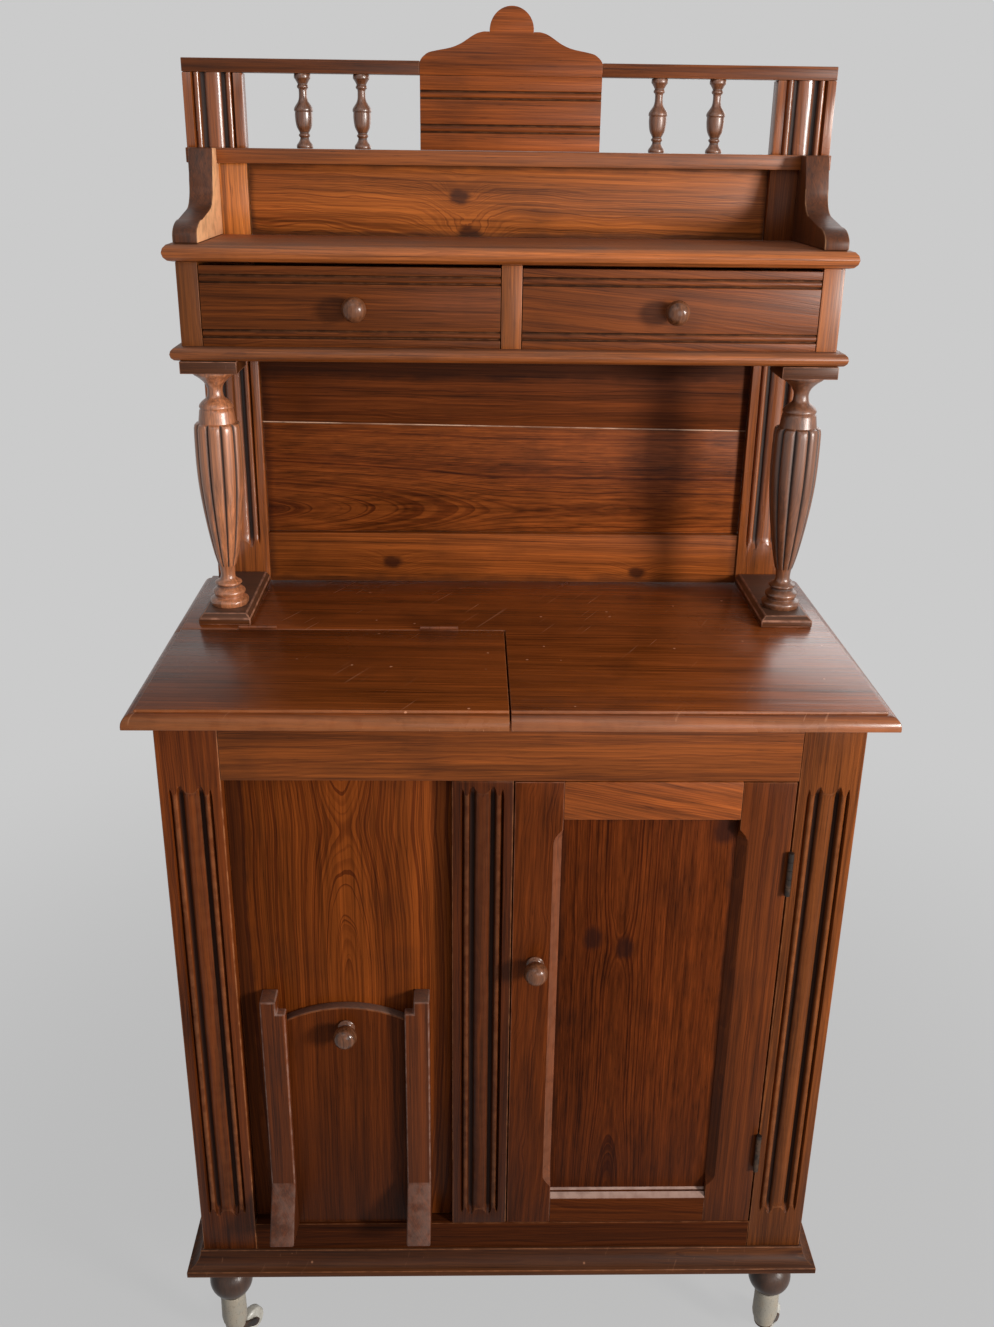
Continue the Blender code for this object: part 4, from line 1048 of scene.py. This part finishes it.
class DRESSER_OT_feet(bpy.types.Operator):
    """Turned feet with painted necks, and casters"""

    bl_idname = "dresser.feet"
    bl_label = "Feet and casters"

    def execute(self, context):
        iron = plain("caster_iron", colours().iron, (0.14, 0.075, 0.045), 60, 0.5, 0.8)
        glaze = plain("caster_wheel", colours().wheel, (0.45, 0.42, 0.36), 55, 0.35)
        paint = plain("neck_paint", colours().paint, (0.42, 0.36, 0.28), 70, 0.5, dark_spots=0.75, bump=0.5)
        # The bun is paled on faces turned to the front, right and top: worn paint and painted light.
        bun_wood = wood(
            "foot_wood", "Z", (0.7, 0.6, 0.0), shade=0.22, tint=(1, 1.1, 1.1), light="turned_light",
            dark="turned_dark", dirt=0.5, rough=0.34, gloss=0.35, edge=0.0, side=(0.045, -0.06, 0.045),
            bare="worn_white",
        )
        for corner in CORNERS:
            low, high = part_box(f"foot_{corner}")
            place = ((low.x + high.x) / 2, (low.y + high.y) / 2, 0)
            radius = (high.x - low.x) / 2
            split, bun_z = high.z - FOOT_SPLIT, high.z - BUN_LEVEL
            cap = [(0, 0), (0.73, 0), (0.74, -0.01), (0.66, -0.014), (0.44, -0.0215)]
            bun = [(r * radius, high.z + z) for r, z in cap]
            for r, z in arc((0, bun_z), (radius, radius), 62, -54, 14):
                bun.append((r, bun_z + (z - bun_z) * BUN_SQUASH))
            bun += [(0.55 * radius, split + SEAT), (0, split + SEAT)]
            done(turn(f"foot_bun_{corner}", bun, place), bun_wood, f"foot_{corner}", slot="old_paint")
            neck = [(0, split), (0.56, split), (0.6, split - 0.003), (0.58, split - 0.012)]
            tip = [(0.6, 0.018), (0.56, 0.01), (0.49, 0.004), (0.48, 0), (0.15, 0), (0.15, 0.02), (0, 0.02)]
            neck += [(r, low.z + z) for r, z in tip]
            done(turn(f"foot_neck_{corner}", scaled(neck, radius, 1), place), paint, slot="old_paint")
            fork, wheel = f"caster_fork_{corner}", f"caster_wheel_{corner}"
            made = dressed(f"fork_{corner}", fork, THIN_ARRIS)
            done(made, iron, fork, body=f"caster_{corner}", slot="iron")
            made = dressed(f"wheel_{corner}_tread", wheel, FINE_ARRIS)
            done(made, glaze, wheel, body=f"wheel_{corner}", slot="wheel_white")
        return {"FINISHED"}


def column_profile():
    """(share of the radius, share of the height) points of the column, its vase between two levels."""
    base = [(0.78, 0), (0.83, 0.012), (0.82, 0.026), (0.64, 0.036), (0.62, 0.041), (0.7, 0.052)]
    base += [(0.69, 0.064), (0.48, 0.08), (0.47, 0.086), (0.58, 0.094), (0.56, 0.102)]
    base += [(0.36, 0.114), (0.31, 0.135), (0.34, 0.168)]
    vase = [(0.39, 0.177), (0.53, 0.232), (0.68, 0.312), (0.8, 0.389), (0.9, 0.466), (0.97, 0.543), (1, 0.62)]
    vase += [(1, 0.7), (0.985, 0.765), (0.93, 0.784)]
    drum = [(0.78, 0.79), (0.745, 0.815), (0.71, 0.838), (0.67, 0.844), (0.71, 0.853), (0.67, 0.864)]
    drum += [(0.56, 0.876), (0.38, 0.89), (0.32, 0.908), (0.32, 0.928), (0.43, 0.951), (0.66, 0.972)]
    drum += [(0.86, 0.986), (0.88, 1)]
    return base, vase, drum


def groove(obj, foot, low, high, lobes):
    """Draws in the meridians between the lobes of a column's vase, and marks them as recesses."""
    half = LOBE_STEPS / 2
    for steps, (share, deep) in enumerate(((0.87, 1.0), (0.945, 0.55), (0.976, 0.2), (0.992, 0.0))):
        pick(obj)
        bpy.ops.object.mode_set(mode="EDIT")
        bpy.ops.mesh.select_all(action="DESELECT")
        leave()
        layer = obj.data.attributes["recess"].data
        for vert in obj.data.vertices:
            angle = math.atan2(vert.co.y - foot.y, vert.co.x - foot.x) / (2 * math.pi) * lobes * LOBE_STEPS
            away = abs((angle + half) % LOBE_STEPS - half)
            vert.select = low - 1e-5 <= vert.co.z <= high + 1e-5 and abs(away - steps) < 0.2
            if vert.select:
                layer[vert.index].value = deep
        bpy.ops.object.mode_set(mode="EDIT")
        bpy.ops.transform.resize(value=(share, share, 1), center_override=foot)
        leave()


class DRESSER_OT_columns(bpy.types.Operator):
    """Turned columns with reeded vases, their abaci and their pads"""

    bl_idname = "dresser.columns"
    bl_label = "Columns"

    def execute(self, context):
        lobes = sizes().lobes
        base, vase, drum = column_profile()
        profile = [(0, 0), *curve(base), *curve(vase), *curve(drum), (0, 1)]
        for side, sign in SIDES:
            column, pad = f"{side}_column", f"{side}_pad"
            low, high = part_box(column)
            abacus_low = high.z - ABACUS_HEIGHT
            height = abacus_low - low.z
            foot = Vector(((low.x + high.x) / 2, (low.y + high.y) / 2, low.z))
            points = scaled(profile, COLUMN_RADIUS, height)
            shaft = turn(f"{side}_turned_column", points, foot, steps=lobes * LOBE_STEPS)
            groove(shaft, foot, low.z + vase[0][1] * height, low.z + vase[-1][1] * height, lobes)
            # Painted light: the left column's wood is made far paler than the right one's, as if lit from the
            # right.
            finish = turned_wood(f"{column}_wood", 1.0 - sign * 0.46, 1.0, 0.32)
            done(shaft, finish, column, slot="turned_wood", angle=CURVED_ANGLE)
            abacus = board(f"{side}_abacus", (low.x, low.y, abacus_low + HAIRLINE / 2), high)
            done(abacus, dark_rail(), slot="dark_pine")
            done(dressed(f"{column}_pad", pad, ROUND_ARRIS, 3), dark_rail(), pad, slot="dark_pine")
        return {"FINISHED"}


class DRESSER_OT_case(bpy.types.Operator):
    """Drawer case: nosed boards, ends and divider"""

    bl_idname = "dresser.case"
    bl_label = "Drawer case"

    def execute(self, context):
        for name, shade in (("case_bottom_board", 0.9), ("case_top_board", 1.4)):
            finish = pine(
                f"{name}_pine", "X", name, shade, tint=(1, 1.16, 1.4), gloss=0.42, rough=0.34, dusty=0.4,
                streak=0.3,
            )
            done(dressed(f"{name}_nosed", name, NOSE_ARRIS), finish, name, angle=CURVED_ANGLE)
        # Painted light: the right end is made paler and the left end darker, as if lit from the right.
        looks = {"case_left_end": (0.48, 0.3), "case_right_end": (1.1, 0.9), "case_divider": (1.1, 0.45)}
        for name, (shade, gloss) in looks.items():
            finish = pine(f"{name}_pine", "Z", name, shade, tint=(1, 1.2, 1.35), gloss=gloss)
            boxed(f"{name}_board", name, finish)
        return {"FINISHED"}


def bead(face, middle):
    """(depth, height) points of a bead between two quirks, from the upper quirk to the lower."""
    s = sizes()
    outer, inner = s.bead + s.bead_quirk, s.bead + s.bead_quirk / 3
    deep = face + s.bead * 0.8
    points = [(face, middle + outer), (deep, middle + inner)]
    for degrees in range(0, 181, 20):
        angle = math.radians(degrees)
        points.append((face + s.bead * (0.8 - 0.7 * math.sin(angle)), middle + s.bead * math.cos(angle)))
    return points + [(deep, middle - inner), (face, middle - outer)]


def mark_quirks(obj, face):
    """Marks how deep each point lies in the quirks of the beads on a face."""
    deep = sizes().bead * 0.8
    mark_recess(obj, lambda point: (point.y - face) / deep if 0 < point.y - face < deep * 1.2 else 0.0)


class DRESSER_OT_drawers(bpy.types.Operator):
    """Drawers: beaded fronts on trays of raw boards"""

    bl_idname = "dresser.drawers"
    bl_label = "Drawers"

    def execute(self, context):
        s = sizes()
        look = {"shade": 0.52, "tint": (1, 1.05, 1.1), "gloss": 0.14, "ring": 0.003}
        left_pine = pine("left_drawer_pine", "X", "left_drawer", **look)
        right_pine = wood(
            "right_drawer_pine", "X", (0.1, 0.16, 1.36), tilt=(0.0, 0.10), ring=0.0038, wave=0.03, shade=0.62,
            tint=(1, 1.03, 1.05), gloss=0.28, rough=0.42,
        )
        for side, finish in (("left", left_pine), ("right", right_pine)):
            drawer = f"{side}_drawer"
            low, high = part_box(drawer)
            inside, edge = low.y + DRAWER_FRONT, s.bead_edge + s.bead
            outline = [(inside, low.z), (inside, high.z), (low.y, high.z)]
            outline += bead(low.y, high.z - edge) + bead(low.y, low.z + edge) + [(low.y, low.z)]
            front = prism(f"{drawer}_front", outline, "X", low.x, high.x, FINE_ARRIS)
            mark_quirks(front, low.y)
            done(front, finish, drawer, body=drawer, angle=CURVED_ANGLE)
            rim, inside = high.z - TRAY_RIM, inside + HAIRLINE
            left, right, back = low.x + TRAY_WALL, high.x - TRAY_WALL, high.y - TRAY_WALL
            walls = [
                board("tray_left", (low.x, inside, low.z), (left, high.y, rim)),
                board("tray_right", (right, inside, low.z), (high.x, high.y, rim)),
            ]
            done(joined(f"{drawer}_walls", walls), raw_pine("Y"), body=drawer)
            tray = [
                board("tray_back", (left, back, low.z), (right, high.y, rim)),
                board("tray_bottom", (left, inside, low.z + HAIRLINE), (right, back, low.z + TRAY_BOTTOM)),
            ]
            done(joined(f"{drawer}_tray", tray), raw_pine(), body=drawer)
        return {"FINISHED"}


def sloped(reach, bottom, top, bottom_fall, top_fall):
    """(x, z) outline of a board whose lower and upper edges fall to the right."""
    outline = [(-reach, bottom + bottom_fall), (reach, bottom - bottom_fall)]
    return outline + [(reach, top - top_fall), (-reach, top + top_fall)]


class DRESSER_OT_hutch_back(bpy.types.Operator):
    """Boards and rails of the hutch's back"""

    bl_idname = "dresser.hutch_back"
    bl_label = "Hutch back"

    def execute(self, context):
        low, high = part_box("hutch_back")
        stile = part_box("right_back_stile")[0]
        reach, seat = stile.x - SEAT, stile.y - SEAT
        face = high.y - BACK_BOARD
        foot_top = low.z + FOOT_RAIL
        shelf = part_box("case_top_board")[1].z
        rail = high.z - sizes().rail_height
        gap, fall = sizes().joint, sizes().joint_fall
        alcove_top = 1.33
        border = (-reach, low.z, reach, alcove_top, 0.022)
        foot_pine = pine(
            "foot_rail_pine", "X", "base_top_rail", 0.92, gloss=0.1, ring=0.0042, tint=(1, 1.05, 1),
            border=border, knots=(((-0.1607, 0.237, 1.0594), 0.011), ((0.1944, 0.237, 1.0447), 0.010)),
        )
        lower_pine = wood(
            "lower_board_pine", "X", (-0.03, face + 0.05, 1.136), tilt=(-0.07, 0), bow=0.07, sag=0.05,
            ring=0.0044, wave=0.01, shade=0.74, gloss=0.12, late=0.85, border=border,
        )
        # The upper board's darker shade is painted shade under the drawer case.
        upper_pine = pine(
            "upper_board_pine", "X", "hutch_back", 0.48, gloss=0.12, ring=0.003, tint=(1, 1.0, 1.15),
            border=border,
        )
        shelf_pine = wood(
            "shelf_back_pine", "X", (-0.05, 0.46, 1.45), tilt=(0.0, 0.02), ring=0.0026, shade=1.25,
            tint=(1, 1.14, 1.15), gloss=0.26, late=0.75, border=(-reach, shelf, reach, rail, 0.012),
            knots=(((-0.0643, 0.245, 1.5568), 0.011), ((-0.051, 0.245, 1.5098), 0.013)),
        )
        front, outline = stile.y + FOOT_RAIL_SET_BACK, sloped(reach, low.z, foot_top, 0, 0)
        done(prism("hutch_foot_rail", outline, "Y", front, high.y), foot_pine, "hutch_back")
        spans = {
            "hutch_lower_board": (foot_top + gap, HUTCH_JOINT - gap, 0, fall, lower_pine),
            "hutch_upper_board": (HUTCH_JOINT + gap, shelf - 2 * gap, fall, 0, upper_pine),
            "shelf_back_board": (shelf - gap, rail - gap / 3, 0, 0, shelf_pine),
        }
        for name, (*span, finish) in spans.items():
            done(prism(name, sloped(reach, *span), "Y", face, high.y), finish)
        outline = [(low.x, low.y), (high.x, low.y), (high.x, seat), (reach, seat), (reach, high.y)]
        outline += [(-reach, high.y), (-reach, seat), (low.x, seat)]
        finish = pine("gallery_rail_pine", "X", "hutch_back", tint=(1, 1.12, 1.15), gloss=0.45, streak=0.35)
        done(prism("gallery_rail", outline, "Z", rail, high.z), finish)
        putty = plain("joint_putty", (0.78, 0.50, 0.34), (0.34, 0.16, 0.09), 14, 0.6)
        outline = sloped(reach, HUTCH_JOINT - gap * 0.9, HUTCH_JOINT + gap * 0.9, fall, fall)
        done(prism("hutch_joint_putty", outline, "Y", face + PUTTY_SET_BACK, high.y, SHARP_ARRIS), putty)
        return {"FINISHED"}


def crest_outline(foot):
    """Right half of the crest's outline, (x, z) from the foot at its edge to the dome's top."""
    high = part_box("gallery_cresting")[1]
    rail_top = high.z - CREST_RISE
    climb = [(0.115, -0.001), (0.1126, 0.003), (0.109, 0.0064), (0.1035, 0.0098), (0.093, 0.0122)]
    climb += [(0.076, 0.0155), (0.063, 0.0205), (0.05, 0.0285), (0.0425, 0.0322), (0.035, 0.034)]
    sweep = curve([(x, rail_top + rise) for x, rise in climb], 4)
    dome = arc((0, high.z - DOME_RADII[1]), DOME_RADII, -8, 90, 14)
    return [(CREST_HALF, foot)] + sweep + [(0.0278, rail_top + 0.034)] + dome


def bracket_outline(cad_node):
    """(y, z) outline of a shelf bracket, notched round the gallery's rail."""
    s = sizes()
    low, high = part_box(cad_node)
    rail_face, rail_low = high.y - s.rail_out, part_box("hutch_back")[1].z - s.rail_height - s.joint / 3
    nose_z = low.z + s.bracket_toe
    hollow_z = nose_z + s.bracket_nose_height + s.bracket_rise + s.bracket_hollow_height
    nose, hollow = (s.bracket_nose, s.bracket_nose_height), (s.bracket_hollow, s.bracket_hollow_height)
    outline = [(high.y, low.z), (low.y, low.z)]
    outline += arc((low.y + nose[0], nose_z), nose, 180, 90, 12)
    outline += arc((rail_face - s.bracket_neck - hollow[0], hollow_z), hollow, -75, 0, 12)
    outline += [(rail_face - s.bracket_top, high.z), (rail_face, high.z)]
    return outline + [(rail_face, rail_low), (high.y, rail_low)]


class DRESSER_OT_gallery(bpy.types.Operator):
    """Gallery: cresting board, beaded panel, balusters and brackets"""

    bl_idname = "dresser.gallery"
    bl_label = "Gallery"

    def execute(self, context):
        low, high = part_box("gallery_cresting")
        crest_pine = pine(
            "crest_pine", "X", "gallery_cresting", 0.93, tint=(1, 0.98, 0.95), late=0.4, gloss=0.22,
            ring=0.003, streak=0.18,
        )
        top = high.z - CREST_RISE
        under = top - TOP_RAIL
        half = crest_outline(under)
        crest = prism("crest_board", half + [(-x, z) for x, z in reversed(half[:-1])], "Y", low.y, high.y)
        done(crest, crest_pine, "gallery_cresting", angle=CURVED_ANGLE)
        for side, sign in SIDES:
            ends = sorted((sign * (CREST_HALF + HAIRLINE), sign * high.x))
            rail = board(f"{side}_top_rail", (ends[0], low.y, under), (ends[1], high.y, top))
            look = {"shade": 0.48 + sign * 0.07, "tint": (1, 1.05, 1.1), "gloss": 0.28}
            done(rail, pine(f"{side}_top_rail_pine", "X", "gallery_cresting", **look))
        face, tall = low.y + PANEL_SET_BACK, under - SEAT - low.z
        section = [(high.y, low.z), (high.y, low.z + tall), (face, low.z + tall)]
        for level in BEAD_LEVELS:
            section += bead(face, low.z + tall * level)
        section.append((face, low.z))
        panel = prism("gallery_panel", section, "X", -CREST_HALF, CREST_HALF, FINE_ARRIS)
        mark_quirks(panel, face)
        done(panel, crest_pine, angle=CURVED_ANGLE)
        self.balusters()
        # Faces turned to the right take the pale face colour: bare wood and painted light, full on the left
        # bracket's inner face and faint on the right bracket.
        for side, shown in (("left", 1.0), ("right", 0.15)):
            cad_node = f"{side}_bracket"
            low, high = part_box(cad_node)
            made = prism(f"{side}_shelf_bracket", bracket_outline(cad_node), "X", low.x, high.x, ROUND_ARRIS)
            finish = pine(
                f"{cad_node}_pine", "Z", cad_node, 0.34, tint=(1, 1.15, 1.6), late=0.4, gloss=0.42,
                rough=0.45, side=(shown, 0, 0), bare="fresh",
            )
            done(made, finish, cad_node, slot="dark_pine", angle=CURVED_ANGLE)
        return {"FINISHED"}

    def balusters(self):
        shape = [(0.84, 0), (0.88, 0.03), (0.82, 0.055), (0.64, 0.085), (0.52, 0.115), (0.46, 0.145)]
        shape += [(0.6, 0.17), (0.6, 0.19), (0.48, 0.21), (0.6, 0.24), (0.8, 0.295), (0.9, 0.365)]
        shape += [(0.94, 0.44), (0.93, 0.495), (1, 0.507), (1, 0.535), (0.92, 0.56), (0.72, 0.6)]
        shape += [(0.55, 0.635), (0.45, 0.68), (0.42, 0.74)]
        shape += [(0.44, 0.795), (0.58, 0.815), (0.6, 0.84), (0.5, 0.86), (0.58, 0.885), (0.76, 0.925)]
        shape += [(0.87, 0.945), (0.87, 0.98), (0.83, 1)]
        low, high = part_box("baluster_1")
        profile = scaled([(0, 0), *curve(shape), (0, 1)], (high.x - low.x) / 2, high.z - low.z)
        model = turn("baluster_model", profile, steps=32, reach=0.004)
        places = {}
        for number in range(1, 5):
            low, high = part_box(f"baluster_{number}")
            place = ((low.x + high.x) / 2, (low.y + high.y) / 2, low.z)
            places[f"baluster_{number}"] = "cabinet", place
        spread(model, turned_wood("baluster_wood", 0.58, 1.0, 0.32), places)


def hinge(name, cad_node, axis, leaf_side, barrel, material):
    """A butt hinge: a barrel of knuckles and its leaf, in a CAD node's place."""
    low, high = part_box(cad_node)
    slot = "XYZ".index(axis)
    thin, along = (i for i in range(3) if i != slot)
    span = high[slot] - low[slot]
    count = max(3, round(span / sizes().knuckle))
    profile = [(0, 0)]
    for i in range(count):
        first, last = span * i / count, span * (i + 1) / count
        profile += [(barrel * 0.8, first + KNUCKLE_SEAM), (barrel, first + KNUCKLE_EDGE)]
        profile += [(barrel, last - KNUCKLE_EDGE), (barrel * 0.8, last - KNUCKLE_SEAM)]
    direction = Vector()
    direction[slot] = 1
    place = (low + high) / 2
    place[slot] = low[slot]
    place[along] = high[along] - barrel if leaf_side < 0 else low[along] + barrel
    pin = turn(f"{name}_barrel", [*profile, (0, span)], place, direction, 20)
    corners = [low.copy(), high.copy()]
    corners[0][thin], corners[1][thin] = place[thin] - HALF_LEAF, place[thin] + HALF_LEAF
    corners[leaf_side < 0][along] = place[along]
    leaf = board(f"{name}_leaf", *corners, SHARP_ARRIS)
    done(joined(name, [pin, leaf]), material, cad_node, slot="iron", angle=CURVED_ANGLE)


class DRESSER_OT_hinges(bpy.types.Operator):
    """Butt hinges of the door and the lid"""

    bl_idname = "dresser.hinges"
    bl_label = "Hinges"

    def execute(self, context):
        iron = plain("hinge_iron", colours().iron, (0.12, 0.07, 0.045), 90, 0.5, 0.8)
        for level in ("upper", "lower"):
            hinge(f"{level}_door_butt", f"{level}_door_hinge", "Z", 1, 0.0035, iron)
        tones = (0.21, 0.055, 0.014), (0.14, 0.036, 0.01)
        varnished = plain("varnished_hinge", *tones, 90, 0.4, dark_spots=0.3)
        for side, _ in SIDES:
            hinge(f"{side}_lid_butt", f"lid_hinge_{side}", "X", -1, 0.0025, varnished)
        return {"FINISHED"}


def area_light(name, place, target, size, power, tint=(1, 1, 1)):
    deselect()
    bpy.ops.object.light_add(type="AREA", location=place)
    lamp = bpy.context.object
    lamp.name = name
    lamp.rotation_euler = (Vector(target) - Vector(place)).to_track_quat("-Z", "Y").to_euler()
    lamp.data.shape = "RECTANGLE"
    lamp.data.size, lamp.data.size_y = size
    lamp.data.energy = power
    lamp.data.color = tint
    lamp.visible_camera = False


def seen_rays(tree):
    """1 for rays that see a surface straight, mirrored or through glass, and 0 for those that light."""
    path = node("ShaderNodeLightPath", tree=tree)
    seen = combine("MAXIMUM", path["Is Camera Ray"], path["Is Glossy Ray"])
    return combine("MAXIMUM", seen, path["Is Transmission Ray"])


class DRESSER_OT_stage(bpy.types.Operator):
    """Pale floor, soft light and the photo's camera"""

    bl_idname = "dresser.stage"
    bl_label = "Stage"

    def execute(self, context):
        stage = context.scene.dresser_stage
        self.floor()
        self.world(stage)
        warm = (1.0, 0.97, 0.93)
        area_light("window", (2.85, -2.35, 1.75), (0.0, 0.0, 1.1), (0.6, 0.85), stage.key_power, warm)
        area_light("window_panel", (1.1, -3.2, 1.35), (0.1, 0.0, 1.3), (1.6, 1.4), stage.panel_power)
        area_light("room", (-0.6, -2.0, 3.2), (0.0, 0.0, 1.3), (2.0, 1.4), stage.fill_power)
        area_light("rim", (1.4, 2.2, 1.9), (0.2, 0.0, 1.1), (2.2, 1.2), stage.rim_power)
        self.camera(context.scene, stage)
        context.scene.view_settings.view_transform = "Standard"
        return {"FINISHED"}

    def floor(self):
        deselect()
        bpy.ops.mesh.primitive_plane_add(size=40, location=(0, 0, 0))
        floor = bpy.context.object
        floor.name = "floor"
        made, tree, shader = new_material("floor_paint")
        shader.inputs["Base Color"].default_value = (0.3, 0.3, 0.3, 1)
        shader.inputs["Roughness"].default_value = 0.9
        place = node("ShaderNodeTexCoord", tree=tree)["Object"]
        shown = seen_rays(tree) * ramp(combine("LENGTH", place), 0.6, 2.2, 0.8, 1.0)
        glow = node("ShaderNodeEmission", {"Color": opaque(colours().floor)}, tree)[0]
        both = node("ShaderNodeMixShader", {0: shown, 1: Field(shader.outputs[0]), 2: glow})[0]
        feed(tree.nodes["Material Output"].inputs["Surface"], both)
        floor.data.materials.append(made)

    def world(self, stage):
        world = bpy.data.worlds.new("studio")
        bpy.context.scene.world = world
        world.use_nodes = True
        tree = world.node_tree
        room = tree.nodes["Background"]
        room.inputs["Color"].default_value = (0.95, 0.97, 1.0, 1)
        room.inputs["Strength"].default_value = stage.world_strength
        backdrop = node("ShaderNodeBackground", {"Color": opaque(colours().floor)}, tree)[0]
        both = node("ShaderNodeMixShader", {0: seen_rays(tree), 1: Field(room.outputs[0]), 2: backdrop})[0]
        feed(tree.nodes["World Output"].inputs["Surface"], both)

    def camera(self, scene, stage):
        deselect()
        bpy.ops.object.camera_add(location=stage.camera_place)
        camera = bpy.context.object
        camera.name = "photo_camera"
        heading = Matrix.Rotation(-stage.camera_yaw, 3, "Z")
        tilt = Matrix.Rotation(math.pi / 2 - stage.camera_pitch, 3, "X")
        camera.rotation_euler = (heading @ tilt @ Matrix.Rotation(-stage.camera_roll, 3, "Z")).to_euler()
        camera.data.sensor_width = SENSOR
        camera.data.lens = SENSOR * stage.focal_pixels / PHOTO_HEIGHT
        camera.data.clip_start = 0.01
        scene.camera = camera


PIECES = (
    DRESSER_OT_base, DRESSER_OT_pilasters, DRESSER_OT_worktop, DRESSER_OT_door, DRESSER_OT_chute,
    DRESSER_OT_feet, DRESSER_OT_columns, DRESSER_OT_hutch_back, DRESSER_OT_case, DRESSER_OT_drawers,
    DRESSER_OT_gallery, DRESSER_OT_knobs, DRESSER_OT_hinges, DRESSER_OT_stage,
)


class DRESSER_PT_panel(bpy.types.Panel):
    """Lists the pieces of the dresser"""

    bl_idname = "DRESSER_PT_panel"
    bl_label = "Pine dresser"
    bl_space_type = "VIEW_3D"
    bl_region_type = "UI"
    bl_category = "Dresser"

    def draw(self, context):
        for operator in PIECES:
            self.layout.operator(operator.bl_idname)


GROUPS = {"dresser_sizes": DresserSizes, "dresser_colours": DresserColours, "dresser_stage": DresserStage}
CLASSES = (*GROUPS.values(), *PIECES, DRESSER_PT_panel)


def register():
    for cls in CLASSES:
        bpy.utils.register_class(cls)
    for key, cls in GROUPS.items():
        setattr(bpy.types.Scene, key, PointerProperty(type=cls))


def unregister():
    for key in GROUPS:
        delattr(bpy.types.Scene, key)
    for cls in reversed(CLASSES):
        bpy.utils.unregister_class(cls)


def main():
    register()
    for operator in PIECES:
        family, action = operator.bl_idname.split(".")
        getattr(getattr(bpy.ops, family), action)()


if __name__ == "__main__":
    main()
